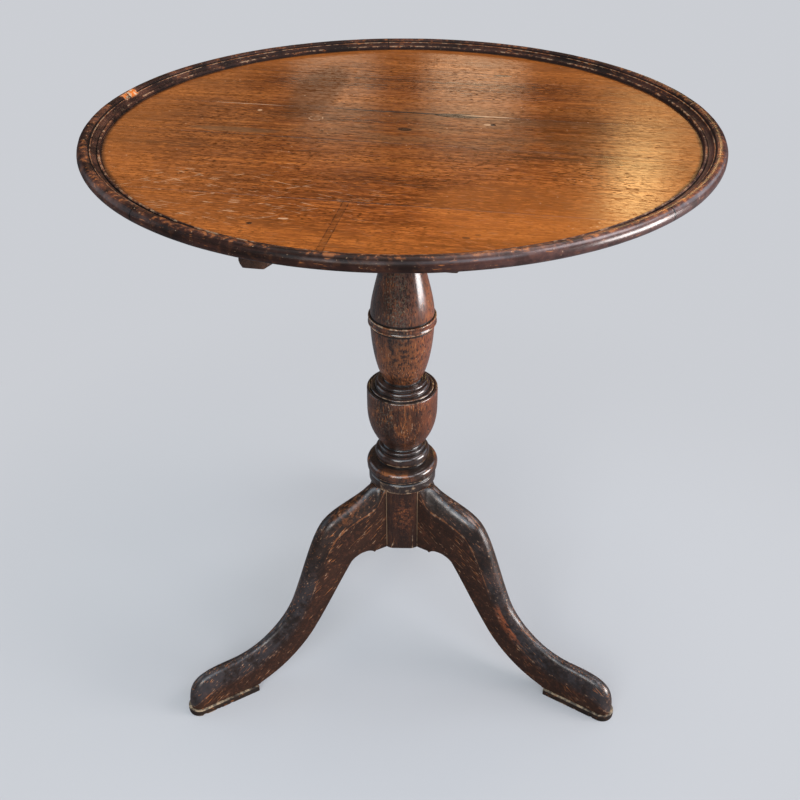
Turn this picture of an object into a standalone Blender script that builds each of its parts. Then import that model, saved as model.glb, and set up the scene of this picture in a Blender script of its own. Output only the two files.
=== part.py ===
# Tilt-top wine table in oak: a dished round top on two bearers tips about pins in a block,
# and a turned column on three cabriole legs with separate soles carries the block.
import bmesh
import bpy
from math import asin, cos, pi, radians, sin, sqrt
from mathutils import Vector

for leftover in list(bpy.data.objects):
    bpy.data.objects.remove(leftover, do_unlink=True)

# Driving dimensions, in metres and radians

# Clearances
FIT = 0.0003
SIDE_PLAY = 0.0005
OVERCUT = 0.004

# Top boards
TOP_RADIUS = 0.310
TABLE_HEIGHT = 0.707
RIM_WIDTH = 0.022
RIM_EDGE = 0.0134
DISH_DEPTH = 0.009
BOARD_THICKNESS = 0.015
LEDGE_WIDTH = 0.014
LEDGE_LIP = 0.001
BEVEL_WIDTH = 0.024
BOARD_JOINTS = (-0.188, -0.043, 0.048, 0.170)
GRAIN_TURN = radians(-9.0)
TOP_SEGMENTS = 72

# Rim moulding, from the outer roll inward
ROLL_WIDTH = 0.0105
NOSE_WIDTH = 0.006
ROLL_DROP = 0.0016
QUIRK_DEPTH = 0.0012
FILLET_WIDTH = 0.002
COVE_WIDTH = 0.005
COVE_DROP = 0.0038
BEAD_WIDTH = 0.003
BEAD_HEIGHT = 0.0013
RIM_LENGTHS = ("front", "right", "back", "left")
RIM_JOINT_TURN = radians(-134.0)

# Bearers
BEARER_SPACING = 0.154
BEARER_WIDTH = 0.028
BEARER_DEPTH = 0.026
BEARER_TIP_DEPTH = 0.0175
BEARER_TAPER = 0.030
BEARER_CHAMFER = 0.005
BEARER_CORNER = 0.010
LEFT_FRONT_MARGIN = 0.052
RIGHT_FRONT_MARGIN = 0.072
BACK_MARGIN = 0.060
END_SCREW_INSET = 0.009

# Block, pivot and wedge
BLOCK_DEPTH = 0.128
BLOCK_THICKNESS = 0.024
PIVOT_RADIUS = 0.005
PIVOT_IN_BLOCK = 0.022
WEDGE_TOP = 0.0030
WEDGE_TIP = 0.0014
WEDGE_DEPTH = 0.017
WEDGE_LENGTH = 0.029

# Column, from the bottom up; a curve gives its two handles as shares of the run
COLUMN_FOOT = 0.1707
DRUM_RADIUS = 0.0361
COLLAR_BASE = 0.2641
COLLAR_RADIUS = 0.0406
COLLAR_HEIGHT = 0.0115
RING_GROOVE = 0.005
BASE_RING_RADIUS = 0.0428
BASE_RING_HEIGHT = 0.0125
BASE_RING_ROUND = 0.0058
RING_COVE_RADIUS = 0.0298
RING_COVE_HEIGHT = 0.005
DISC_RADIUS = 0.0325
DISC_HEIGHT = 0.0115
DISC_ROUND = 0.006
FOOT_BEAD_RADIUS = 0.0279
FOOT_BEAD_HEIGHT = 0.0048
URN_FOOT_RADIUS = 0.0230
URN_FOOT_HEIGHT = 0.0016
URN_RADIUS = 0.0412
URN_HEIGHT = 0.0787
URN_SWELL = 0.0513
URN_CURVE = ((0.59, 0.24), (1.0, 0.56))
SHOULDER_RING_RADIUS = 0.0368
SHOULDER_BEAD_RADIUS = 0.0318
SHOULDER_BEAD_HEIGHT = 0.005
NECK_BEAD_RADIUS = 0.0284
NECK_BEAD_HEIGHT = 0.0044
NECK_RADIUS = 0.0217
BALUSTER_RADIUS = 0.0360
BALUSTER_HEIGHT = 0.0730
BALUSTER_CURVE = ((0.48, 0.15), (0.94, 0.53))
BAND_RADIUS = 0.0385
BAND_HEIGHT = 0.010
VASE_NECK_RADIUS = 0.0185
VASE_HEIGHT = 0.090
VASE_CURVE = ((0.0, 0.24), (0.65, 0.55))
ASTRAGAL_RADIUS = 0.0240
ASTRAGAL_HEIGHT = 0.010
CAVETTO_CURVE = ((-0.10, 0.55), (0.30, 0.91))
CAP_RADIUS = 0.0300
CAP_HEIGHT = 0.016
TENON_RADIUS = 0.016
TURNED_EASE = 0.001
COLUMN_SEGMENTS = 28

# Legs and soles: reach is measured from the axis of the column
LEG_TURNS = {"back": radians(90.0), "front_left": radians(210.0), "front_right": radians(330.0)}
LEG_THICKNESS = 0.0332
ANKLE_THICKNESS = 0.0188
TOE_THICKNESS = 0.0240
TOE_TIP = 0.004
TAPER_REACH = 0.060
ANKLE_REACH = 0.205
LEG_FLAT = 0.0317
SHOULDER_REACH = 0.051
SHOULDER_FALL = 0.0054
KNEE_REACH = 0.108
KNEE_HEIGHT = 0.229
KNEE_CURVE = ((0.33, 0.35), (0.75, 0.56))
SHIN_REACH = 0.155
SHIN_HEIGHT = 0.1215
SHIN_CURVE = ((0.38, 0.17), (0.60, 0.60))
INSTEP_REACH = 0.240
INSTEP_HEIGHT = 0.0603
INSTEP_CURVE = ((0.15, 0.47), (0.57, 0.94))
TOE_REACH = 0.3030
TOE_HEIGHT = 0.013
TOE_CURVE = ((0.61, 0.04), (1.0, 0.13))
CUSP_START = 0.0465
CUSP_REACH = 0.049
CUSP_DROP = 0.0016
ARCH_REACH = 0.0805
ARCH_FALL = 0.0039
ARCH_RISE = 0.0068
ARCH_SHARES = (0.16, 0.67)
CALF_REACH = 0.132
CALF_HEIGHT = 0.0795
CALF_CURVE = ((0.30, 0.28), (0.69, 0.72))
HEEL_REACH = 0.2125
HEEL_HEIGHT = 0.0112
HEEL_CURVE = ((0.22, 0.43), (0.62, 0.85))
HEEL_SLOPE = 0.0015
HEEL_WIDTH = 0.004
CROWN_AT_COLUMN = 0.05
CROWN_AT_KNEE = 0.27
CROWN_AT_FOOT = 0.50
CROWN_HANDLES = ((0.62, 0.45), (0.45, 1.0))
CROWN_STEPS = 4
TONGUE_DEPTH = 0.0127
TONGUE_NECK = 0.0110
TONGUE_TAIL = 0.0156
TONGUE_TOP = 0.256
SOLE_THICKNESS = 0.0095
SOLE_LEDGE = 0.0024
SOLE_HEEL_STEP = 0.0035
SOLE_EDGE = 0.001

# Iron brace under the column
BRACE_HUB = 0.022
BRACE_ARM_WIDTH = 0.016
BRACE_REACH = 0.045
BRACE_THICKNESS = 0.0025
BRACE_SCREW_REACH = 0.037

# Catch under the top
CATCH_DROP = 0.011
CATCH_CLEARANCE = 0.0022
CASE_LENGTH = 0.044
CASE_WIDTH = 0.018
CASE_WALL = 0.0015
FLANGE_WIDTH = 0.042
FLANGE_THICKNESS = 0.0025
FLANGE_SCREW_INSET = 0.007
BOLT_WIDTH = 0.0104
BOLT_HEIGHT = 0.008
BOLT_LENGTH = 0.036
BOLT_TRAVEL = 0.010
BOLT_NOSE = 0.002
KNOB_RADIUS = 0.006
KNOB_STEM = 0.0025
KNOB_SETBACK = 0.018
KNOB_DROP = 0.016
KNOB_BASE_TURN = radians(75.0)
STEM_IN_BOLT = 0.004
KEEPER_WIDTH = 0.034
KEEPER_HEIGHT = 0.018
KEEPER_THICKNESS = 0.0016
KEEPER_SCREW_SPACING = 0.023
MORTISE_DEPTH = 0.010

# Screws: head radius, head depth, shank radius, length
BEARER_SCREW = (0.0042, 0.0028, 0.0019, 0.034)
CATCH_SCREW = (0.0030, 0.0018, 0.0014, 0.010)
BRACE_SCREW = (0.0040, 0.0022, 0.0019, 0.016)
SCREW_SEGMENTS = 10
PIN_SEGMENTS = 16

# Finishes: colour, roughness, metallic
BOARD_OAK = ((0.34, 0.15, 0.045), 0.38, 0.0)
RIM_OAK = ((0.055, 0.022, 0.012), 0.32, 0.0)
DARK_OAK = ((0.060, 0.024, 0.012), 0.36, 0.0)
RAW_OAK = ((0.16, 0.085, 0.040), 0.70, 0.0)
BRASS = ((0.55, 0.38, 0.14), 0.35, 1.0)
IRON = ((0.045, 0.040, 0.036), 0.60, 1.0)
SHARP_ANGLE = radians(35.0)

# Levels and places that follow from the sizes above
field_radius = TOP_RADIUS - RIM_WIDTH
field_level = TABLE_HEIGHT - DISH_DEPTH
rim_bottom = TABLE_HEIGHT - RIM_EDGE
under_level = field_level - BOARD_THICKNESS
hung_level = under_level - FIT
block_bottom = hung_level - BLOCK_THICKNESS
block_half_width = BEARER_SPACING / 2 - BEARER_WIDTH / 2 - SIDE_PLAY
pivot_arm = BLOCK_THICKNESS / 2
pivot_level = hung_level - pivot_arm
pivot_back = BLOCK_DEPTH / 2 - pivot_arm
bearer_bottom = hung_level - BEARER_DEPTH
tenon_top = hung_level - FIT
leg_root = LEG_FLAT + FIT
foot_level = SOLE_THICKNESS + FIT
brace_bottom = COLUMN_FOOT - FIT - BRACE_THICKNESS
catch_level = under_level - CATCH_DROP
keeper_front = -BLOCK_DEPTH / 2 - FIT - KEEPER_THICKNESS
case_end = keeper_front - CATCH_CLEARANCE
bolt_end = case_end - FIT


def material(name, colour, roughness, metallic):
    made = bpy.data.materials.new(name)
    made.use_nodes = True
    surface = made.node_tree.nodes["Principled BSDF"]
    surface.inputs["Base Color"].default_value = (*colour, 1.0)
    surface.inputs["Roughness"].default_value = roughness
    surface.inputs["Metallic"].default_value = metallic
    return made


def empty(name, location, turn, parent=None):
    frame = bpy.data.objects.new(name, None)
    bpy.context.collection.objects.link(frame)
    frame.parent = parent
    frame.location = location
    frame.rotation_euler = (0.0, 0.0, turn)
    return frame


def add_object(name, bm, parent, finish, location=(0, 0, 0), rotation=(0, 0, 0)):
    bmesh.ops.recalc_face_normals(bm, faces=bm.faces)
    mesh = bpy.data.meshes.new(name)
    bm.to_mesh(mesh)
    bm.free()
    mesh.shade_smooth()
    mesh.set_sharp_from_angle(angle=SHARP_ANGLE)
    made = bpy.data.objects.new(name, mesh)
    bpy.context.collection.objects.link(made)
    made.parent = parent
    made.location = location
    made.rotation_euler = rotation
    if finish:
        mesh.materials.append(material(name, *finish))
    else:
        made.hide_render = True
        made.display_type = "WIRE"
    return made


def combine(target, tool, operation):
    step = target.modifiers.new(operation.lower(), "BOOLEAN")
    step.operation = operation
    step.object = tool
    step.solver = "EXACT"


def cut(tool, *targets):
    for target in targets:
        combine(target, tool, "DIFFERENCE")


def fill_ends(bm):
    bmesh.ops.holes_fill(bm, edges=[edge for edge in bm.edges if edge.is_boundary])


def swept(profile, turn, start, steps, closed_outline):
    bm = bmesh.new()
    verts = [bm.verts.new((r * cos(start), r * sin(start), z)) for r, z in profile]
    ends = verts[1:] + verts[:1] if closed_outline else verts[1:]
    edges = [bm.edges.new(pair) for pair in zip(verts, ends)]
    bmesh.ops.spin(bm, geom=verts + edges, cent=(0, 0, 0), axis=(0, 0, 1), angle=turn,
                   steps=steps, use_merge=not closed_outline)
    fill_ends(bm)
    return bm


def turned(profile, segments, start=0.0):
    return swept(profile, 2 * pi, start, segments, False)


def extruded(outline, vector):
    bm = bmesh.new()
    face = bm.faces.new([bm.verts.new(point) for point in outline])
    moved = bmesh.ops.extrude_face_region(bm, geom=[face])["geom"]
    verts = [part for part in moved if isinstance(part, bmesh.types.BMVert)]
    bmesh.ops.translate(bm, vec=vector, verts=verts)
    return bm


def box(low, high):
    (x0, y0, z0), (x1, y1, z1) = low, high
    return extruded([(x0, y0, z0), (x1, y0, z0), (x1, y1, z0), (x0, y1, z0)], (0, 0, z1 - z0))


def arc(centre, radii, start, end, steps):
    angles = [start + (end - start) * k / steps for k in range(steps + 1)]
    return [(centre[0] + radii[0] * cos(a), centre[1] + radii[1] * sin(a)) for a in angles]


def bezier(p0, p1, p2, p3, steps):
    points = []
    for k in range(1, steps + 1):
        t = k / steps
        weights = ((1 - t) ** 3, 3 * t * (1 - t) ** 2, 3 * t * t * (1 - t), t ** 3)
        pairs = list(zip(weights, (p0, p1, p2, p3)))
        points.append((sum(w * p[0] for w, p in pairs), sum(w * p[1] for w, p in pairs)))
    return points


def curve(start, end, shares, steps):
    run = (end[0] - start[0], end[1] - start[1])
    handles = [(start[0] + x * run[0], start[1] + y * run[1]) for x, y in shares]
    return bezier(start, *handles, end, steps)


def straight(start, end, steps):
    return bezier(start, start, end, end, steps)


def rod(name, radius, start, end, parent, finish=None, segments=PIN_SEGMENTS):
    axis = Vector(end) - Vector(start)
    bm = turned([(radius, 0.0), (radius, axis.length)], segments)
    rotation = Vector((0, 0, 1)).rotation_difference(axis).to_euler()
    return add_object(name, bm, parent, finish, start, rotation)


def screw(name, size, place, rotation, parent, finish, *held):
    head, depth, shank, length = size
    body = [(head, 0.0), (shank, depth), (shank, length)]
    add_object(name, turned(body, SCREW_SEGMENTS), parent, finish, place, rotation)
    seat = [(head + FIT, -OVERCUT), (head + FIT, FIT)]
    seat += [(shank + FIT, depth + FIT), (shank + FIT, length + FIT)]
    seat_tool = add_object(name + "_seat", turned(seat, SCREW_SEGMENTS), parent, None, place, rotation)
    cut(seat_tool, *held)


pivot_place = (-pivot_back * sin(GRAIN_TURN), pivot_back * cos(GRAIN_TURN), pivot_level)
tilt_axis = empty("tilt_axis", pivot_place, GRAIN_TURN)
top_origin = empty("top_origin", (0, -pivot_back, -pivot_level), 0.0, tilt_axis)
catch_slide = empty("catch_slide", (0, bolt_end, catch_level), 0.0, top_origin)
block_seat = empty("block_seat", (0, 0, 0), GRAIN_TURN)


# Top boards: one turned blank, sliced along the grain

def top_blank():
    ledge_radius = field_radius + LEDGE_WIDTH
    ledge_level = rim_bottom - FIT
    profile = [(ledge_radius - BEVEL_WIDTH, under_level), (ledge_radius, ledge_level - LEDGE_LIP)]
    profile += [(ledge_radius, ledge_level), (field_radius, ledge_level), (field_radius, field_level)]
    return turned(profile, TOP_SEGMENTS, RIM_JOINT_TURN - GRAIN_TURN)


def make_boards():
    beyond = TOP_RADIUS + OVERCUT
    edges = (-beyond, *BOARD_JOINTS, beyond)
    boards = []
    for index, (front, back) in enumerate(zip(edges, edges[1:]), start=1):
        board = add_object(f"top_board_{index}", top_blank(), top_origin, BOARD_OAK)
        low = (-beyond, front + FIT / 2, under_level - OVERCUT)
        high = (beyond, back - FIT / 2, field_level + OVERCUT)
        slab = add_object(f"board_slab_{index}", box(low, high), top_origin, None)
        combine(board, slab, "INTERSECT")
        boards.append(board)
    return boards


# Rim moulding: roll, quirk, fillet, cove and bead in quarter lengths

def rim_outline():
    roll_inner = TOP_RADIUS - ROLL_WIDTH
    roll_foot = TABLE_HEIGHT - ROLL_DROP
    fillet_inner = roll_inner - FILLET_WIDTH
    fillet_level = roll_foot - QUIRK_DEPTH
    cove_inner = fillet_inner - COVE_WIDTH
    bead_centre = (cove_inner - BEAD_WIDTH / 2, fillet_level - COVE_DROP)
    nose_inner = TOP_RADIUS - NOSE_WIDTH
    nose_centre = (nose_inner, rim_bottom + RIM_EDGE / 2)
    outline = [(field_radius + FIT, rim_bottom)]
    outline += arc(nose_centre, (NOSE_WIDTH, RIM_EDGE / 2), -pi / 2, pi / 2, 7)
    outline += arc((nose_inner, roll_foot), (nose_inner - roll_inner, ROLL_DROP), pi / 2, pi, 2)[1:]
    outline += [(roll_inner, fillet_level), (fillet_inner, fillet_level)]
    outline += arc((cove_inner, fillet_level), (COVE_WIDTH, COVE_DROP), 0.0, -pi / 2, 3)[1:]
    outline += arc(bead_centre, (BEAD_WIDTH / 2, BEAD_HEIGHT), 0.0, pi, 4)[1:]
    outline += [(field_radius + FIT, field_level)]
    return outline


def make_rim():
    turn = 2 * pi / len(RIM_LENGTHS)
    gap = FIT / field_radius
    for index, side in enumerate(RIM_LENGTHS):
        start = RIM_JOINT_TURN - GRAIN_TURN + turn * index + gap / 2
        bm = swept(rim_outline(), turn - gap, start, TOP_SEGMENTS // len(RIM_LENGTHS), True)
        add_object(f"rim_{side}", bm, top_origin, RIM_OAK)


# Bearers: tapered and rounded at both ends, chamfered below, bored for the pivot pins

def bearer_plan(centre, front, back):
    across = BEARER_WIDTH / 2 + FIT - BEARER_CORNER
    eyes = ((across, back), (-across, back), (-across, front), (across, front))
    outline = []
    for index, (x, end) in enumerate(eyes):
        y = end - BEARER_CORNER if end == back else end + BEARER_CORNER
        start = index * pi / 2
        outline += arc((centre + x, y), (BEARER_CORNER, BEARER_CORNER), start, start + pi / 2, 4)
    return extruded([(x, y, bearer_bottom - OVERCUT) for x, y in outline],
                    (0, 0, BEARER_DEPTH + 2 * OVERCUT))


def make_bearer(name, side, front_margin):
    front = front_margin - TOP_RADIUS
    back = TOP_RADIUS - BACK_MARGIN
    tip = hung_level - BEARER_TIP_DEPTH
    sides = [(front, hung_level), (front, tip), (front + BEARER_TAPER, bearer_bottom)]
    sides += [(back - BEARER_TAPER, bearer_bottom), (back, tip), (back, hung_level)]
    centre = side * BEARER_SPACING / 2
    bm = extruded([(centre - BEARER_WIDTH / 2, y, z) for y, z in sides], (BEARER_WIDTH, 0, 0))
    below = []
    for edge in bm.edges:
        first, second = (vert.co for vert in edge.verts)
        if abs(first.x - second.x) < FIT and max(first.z, second.z) < hung_level - FIT:
            below.append(edge)
    bmesh.ops.bevel(bm, geom=below, offset=BEARER_CHAMFER, segments=1, affect="EDGES")
    bearer = add_object(name, bm, top_origin, RAW_OAK)
    plan = bearer_plan(centre, front - FIT, back + FIT)
    combine(bearer, add_object(name + "_plan", plan, top_origin, None), "INTERSECT")
    reach = BEARER_WIDTH / 2 + OVERCUT
    start = (centre - reach, pivot_back, pivot_level)
    end = (centre + reach, pivot_back, pivot_level)
    bore_radius = (PIVOT_RADIUS + FIT) / cos(pi / PIN_SEGMENTS)
    cut(rod(name + "_bore", bore_radius, start, end, top_origin), bearer)
    return bearer


def make_bearers(boards):
    places = [BOARD_JOINTS[0] - END_SCREW_INSET]
    places += [(front + back) / 2 for front, back in zip(BOARD_JOINTS, BOARD_JOINTS[1:])]
    places += [BOARD_JOINTS[-1] + END_SCREW_INSET]
    sides = (("bearer_left", -1, LEFT_FRONT_MARGIN), ("bearer_right", 1, RIGHT_FRONT_MARGIN))
    for name, side, margin in sides:
        bearer = make_bearer(name, side, margin)
        for index, (place, board) in enumerate(zip(places, boards), start=1):
            head = (side * BEARER_SPACING / 2, place, bearer_bottom)
            screw(f"{name}_screw_{index}", BEARER_SCREW, head, (0, 0, 0), top_origin, IRON, bearer, board)


# Block on the column: its back top edge is rounded about the pivot

def make_block():
    half = BLOCK_DEPTH / 2
    sides = [(-half, block_bottom), (half, block_bottom)]
    sides += arc((pivot_back, pivot_level), (pivot_arm, pivot_arm), 0.0, pi / 2, 6)
    sides += [(-half, hung_level)]
    outline = [(-block_half_width, y, z) for y, z in sides]
    block = add_object("block", extruded(outline, (2 * block_half_width, 0, 0)), block_seat, RAW_OAK)
    low = (0, 0, block_bottom - OVERCUT)
    high = (0, 0, hung_level + OVERCUT)
    hole_radius = (TENON_RADIUS + FIT) / cos(pi / COLUMN_SEGMENTS)
    cut(rod("tenon_hole", hole_radius, low, high, block_seat, segments=COLUMN_SEGMENTS), block)
    return block


def make_pivots(block):
    inner = block_half_width - PIVOT_IN_BLOCK
    outer = BEARER_SPACING / 2 + BEARER_WIDTH / 2 - FIT
    for name, side in (("pivot_pin_left", -1), ("pivot_pin_right", 1)):
        start = (side * inner, pivot_back, pivot_level)
        end = (side * outer, pivot_back, pivot_level)
        rod(name, PIVOT_RADIUS, start, end, block_seat, IRON)
        blind_end = (side * (inner - FIT), pivot_back, pivot_level)
        cut(rod(name + "_bore", PIVOT_RADIUS + FIT, blind_end, end, block_seat), block)


# Turned column with a round tenon, split and wedged at its top

def bead(radius, height, base, steps):
    return arc((radius - height / 2, base + height / 2), (height / 2, height / 2), -pi / 2, pi / 2, steps)


def column_base():
    collar_top = COLLAR_BASE + COLLAR_HEIGHT
    ring_base = collar_top + RING_GROOVE
    ring_top = ring_base + BASE_RING_HEIGHT
    ring_eye = (BASE_RING_RADIUS - BASE_RING_ROUND, ring_base + 4 * TURNED_EASE)
    ring_round = (BASE_RING_ROUND, ring_top - ring_eye[1])
    cove_top = ring_top + RING_COVE_HEIGHT
    disc_top = cove_top + DISC_HEIGHT
    disc_eye = (DISC_RADIUS - DISC_ROUND, disc_top - DISC_ROUND)
    profile = [(DRUM_RADIUS, COLUMN_FOOT), (DRUM_RADIUS, COLLAR_BASE), (COLLAR_RADIUS, COLLAR_BASE)]
    profile += [(COLLAR_RADIUS, collar_top), (COLLAR_RADIUS - TURNED_EASE, collar_top + TURNED_EASE)]
    profile += [(BASE_RING_RADIUS - 3 * TURNED_EASE, ring_base - TURNED_EASE)]
    profile += [(BASE_RING_RADIUS - TURNED_EASE, ring_base)]
    profile += arc(ring_eye, ring_round, 0.0, pi / 2, 4)
    profile += [(RING_COVE_RADIUS, ring_top), (RING_COVE_RADIUS, cove_top), (DISC_RADIUS, cove_top)]
    profile += arc(disc_eye, (DISC_ROUND, DISC_ROUND), 0.0, pi / 2, 3)
    profile += bead(FOOT_BEAD_RADIUS, FOOT_BEAD_HEIGHT, disc_top, 3)
    return profile, disc_top + FOOT_BEAD_HEIGHT


def column_urn(base):
    foot = (URN_FOOT_RADIUS, base + URN_FOOT_HEIGHT)
    swell = (URN_RADIUS, foot[1] + URN_SWELL)
    top = foot[1] + URN_HEIGHT
    ring = SHOULDER_RING_RADIUS
    bead_base = top + 2 * TURNED_EASE
    neck_base = bead_base + SHOULDER_BEAD_HEIGHT
    bead_round = (SHOULDER_BEAD_RADIUS - NECK_BEAD_RADIUS, SHOULDER_BEAD_HEIGHT)
    profile = [(URN_FOOT_RADIUS, base + TURNED_EASE / 2), foot]
    profile += curve(foot, swell, URN_CURVE, 6)
    profile += [(URN_RADIUS, top - TURNED_EASE), (URN_RADIUS - TURNED_EASE, top)]
    profile += [(ring + TURNED_EASE, top), (ring, top - TURNED_EASE / 2), (ring, bead_base)]
    profile += arc((NECK_BEAD_RADIUS, bead_base), bead_round, 0.0, pi / 2, 3)
    profile += bead(NECK_BEAD_RADIUS + TURNED_EASE / 2, NECK_BEAD_HEIGHT, neck_base, 3)
    return profile, neck_base + NECK_BEAD_HEIGHT + TURNED_EASE


def column_shaft(base):
    neck = (NECK_RADIUS, base)
    band_base = base + BALUSTER_HEIGHT
    band_eye = (BAND_RADIUS - TURNED_EASE, band_base + BAND_HEIGHT / 2)
    band_top = band_base + BAND_HEIGHT
    vase_top = band_top + VASE_HEIGHT
    profile = [neck]
    profile += curve(neck, (BALUSTER_RADIUS, band_base), BALUSTER_CURVE, 6)
    profile += arc(band_eye, (TURNED_EASE, BAND_HEIGHT / 2), -pi / 2, pi / 2, 4)
    profile += [(BALUSTER_RADIUS, band_top)]
    profile += curve((BALUSTER_RADIUS, band_top), (VASE_NECK_RADIUS, vase_top), VASE_CURVE, 7)
    profile += bead(ASTRAGAL_RADIUS, ASTRAGAL_HEIGHT, vase_top + TURNED_EASE, 4)
    return profile, vase_top + ASTRAGAL_HEIGHT + 2 * TURNED_EASE


def column_cap(base):
    seat = block_bottom - FIT
    cap_base = seat - CAP_HEIGHT
    waist = (VASE_NECK_RADIUS + TURNED_EASE, base)
    profile = [waist]
    profile += curve(waist, (CAP_RADIUS - TURNED_EASE, cap_base), CAVETTO_CURVE, 5)
    profile += [(CAP_RADIUS, cap_base + TURNED_EASE), (CAP_RADIUS, seat)]
    profile += [(TENON_RADIUS, seat), (TENON_RADIUS, tenon_top)]
    return profile


def taper_prism(width_low, width_high, low, high, length):
    outline = [(-width_low / 2, low), (width_low / 2, low), (width_high / 2, high), (-width_high / 2, high)]
    return extruded([(x, -length / 2, z) for x, z in outline], (0, length, 0))


def make_column():
    profile, level = column_base()
    for stretch in (column_urn, column_shaft):
        points, level = stretch(level)
        profile += points
    profile += column_cap(level)
    column = add_object("column", turned(profile, COLUMN_SEGMENTS), None, DARK_OAK)
    wedge_low = tenon_top - WEDGE_DEPTH
    widening = (WEDGE_TOP - WEDGE_TIP) / WEDGE_DEPTH * OVERCUT
    slot = taper_prism(WEDGE_TIP + 2 * FIT, WEDGE_TOP + 2 * FIT + widening, wedge_low - FIT,
                       tenon_top + OVERCUT, 2 * (TENON_RADIUS + OVERCUT))
    cut(add_object("wedge_slot", slot, block_seat, None), column)
    wedge = taper_prism(WEDGE_TIP, WEDGE_TOP, wedge_low, tenon_top, WEDGE_LENGTH)
    add_object("tenon_wedge", wedge, block_seat, RAW_OAK)
    return column


# Cabriole legs: lofted between an upper and a lower outline, with a dovetail tongue

def foot_half_width(reach):
    toe_half = TOE_THICKNESS / 2
    toe_centre = TOE_REACH - toe_half
    if reach <= toe_centre:
        share = (reach - ANKLE_REACH) / (toe_centre - ANKLE_REACH)
        return (ANKLE_THICKNESS + (TOE_THICKNESS - ANKLE_THICKNESS) * share) / 2
    return max(sqrt(max(toe_half ** 2 - (reach - toe_centre) ** 2, 0.0)), TOE_TIP / 2)


def leg_half_width(reach):
    if reach >= ANKLE_REACH:
        return foot_half_width(reach)
    share = max(reach - TAPER_REACH, 0.0) / (ANKLE_REACH - TAPER_REACH)
    return (LEG_THICKNESS + (ANKLE_THICKNESS - LEG_THICKNESS) * share) / 2


def crown_share(reach):
    if reach < CUSP_START:
        share = (reach - leg_root) / (CUSP_START - leg_root)
        return CROWN_AT_COLUMN + (CROWN_AT_KNEE - CROWN_AT_COLUMN) * share
    share = min(max(reach - TAPER_REACH, 0.0) / (ANKLE_REACH - TAPER_REACH), 1.0)
    return CROWN_AT_KNEE + (CROWN_AT_FOOT - CROWN_AT_KNEE) * share


def leg_upper():
    under_collar = COLLAR_BASE - 2 * FIT
    root = (leg_root, under_collar)
    collar_edge = (COLLAR_RADIUS + FIT, under_collar)
    shoulder = (SHOULDER_REACH, under_collar - SHOULDER_FALL)
    knee = (KNEE_REACH, KNEE_HEIGHT)
    shin = (SHIN_REACH, SHIN_HEIGHT)
    instep = (INSTEP_REACH, INSTEP_HEIGHT)
    over_heel = (INSTEP_REACH + HEEL_WIDTH, INSTEP_HEIGHT - FIT)
    points = [root] + straight(root, collar_edge, 3) + [shoulder]
    points += curve(shoulder, knee, KNEE_CURVE, 5)
    points += curve(knee, shin, SHIN_CURVE, 7)
    points += curve(shin, instep, INSTEP_CURVE, 7) + [over_heel]
    points += curve(over_heel, (TOE_REACH - FIT, TOE_HEIGHT), TOE_CURVE, 7)
    return points


def leg_lower():
    root = (leg_root, COLUMN_FOOT)
    before_cusp = (CUSP_START, COLUMN_FOOT)
    cusp = (CUSP_REACH, COLUMN_FOOT - CUSP_DROP)
    arch_end = (ARCH_REACH, COLUMN_FOOT - ARCH_FALL)
    arch_handles = [(CUSP_REACH + share * (ARCH_REACH - CUSP_REACH), COLUMN_FOOT + ARCH_RISE)
                    for share in ARCH_SHARES]
    calf = (CALF_REACH, CALF_HEIGHT)
    heel = (HEEL_REACH, HEEL_HEIGHT)
    heel_foot = (HEEL_REACH + HEEL_SLOPE, foot_level)
    points = [root] + straight(root, before_cusp, 3) + [cusp]
    points += bezier(cusp, *arch_handles, arch_end, 5)
    points += curve(arch_end, calf, CALF_CURVE, 7)
    points += curve(calf, heel, HEEL_CURVE, 7) + [heel_foot]
    points += straight(heel_foot, (TOE_REACH - SOLE_EDGE, foot_level), 7)
    return points


def leg_section(upper, lower):
    share = crown_share((upper[0] + lower[0]) / 2)
    handles = [(side, 1.0 - share + share * rise) for side, rise in CROWN_HANDLES]
    crown = [(1.0, 1.0 - share)] + bezier((1.0, 1.0 - share), *handles, (0.0, 1.0), CROWN_STEPS)
    around = [(-1.0, 0.0)] + [(-side, depth) for side, depth in crown]
    around += crown[-2::-1] + [(1.0, 0.0)]
    section = []
    for side, depth in around:
        reach = lower[0] + depth * (upper[0] - lower[0])
        level = lower[1] + depth * (upper[1] - lower[1])
        section.append((reach, side * leg_half_width(reach), level))
    return section


def leg_loft():
    bm = bmesh.new()
    rings = []
    for upper, lower in zip(leg_upper(), leg_lower()):
        rings.append([bm.verts.new(point) for point in leg_section(upper, lower)])
    for ring, following in zip(rings, rings[1:]):
        for k in range(len(ring)):
            nxt = (k + 1) % len(ring)
            bm.faces.new((ring[k], ring[nxt], following[nxt], following[k]))
    fill_ends(bm)
    return bm


def dovetail(start, end, neck, tail, low, high):
    outline = [(end, -tail / 2), (start, -neck / 2), (start, neck / 2), (end, tail / 2)]
    return extruded([(x, y, low) for x, y in outline], (0, 0, high - low))


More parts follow.
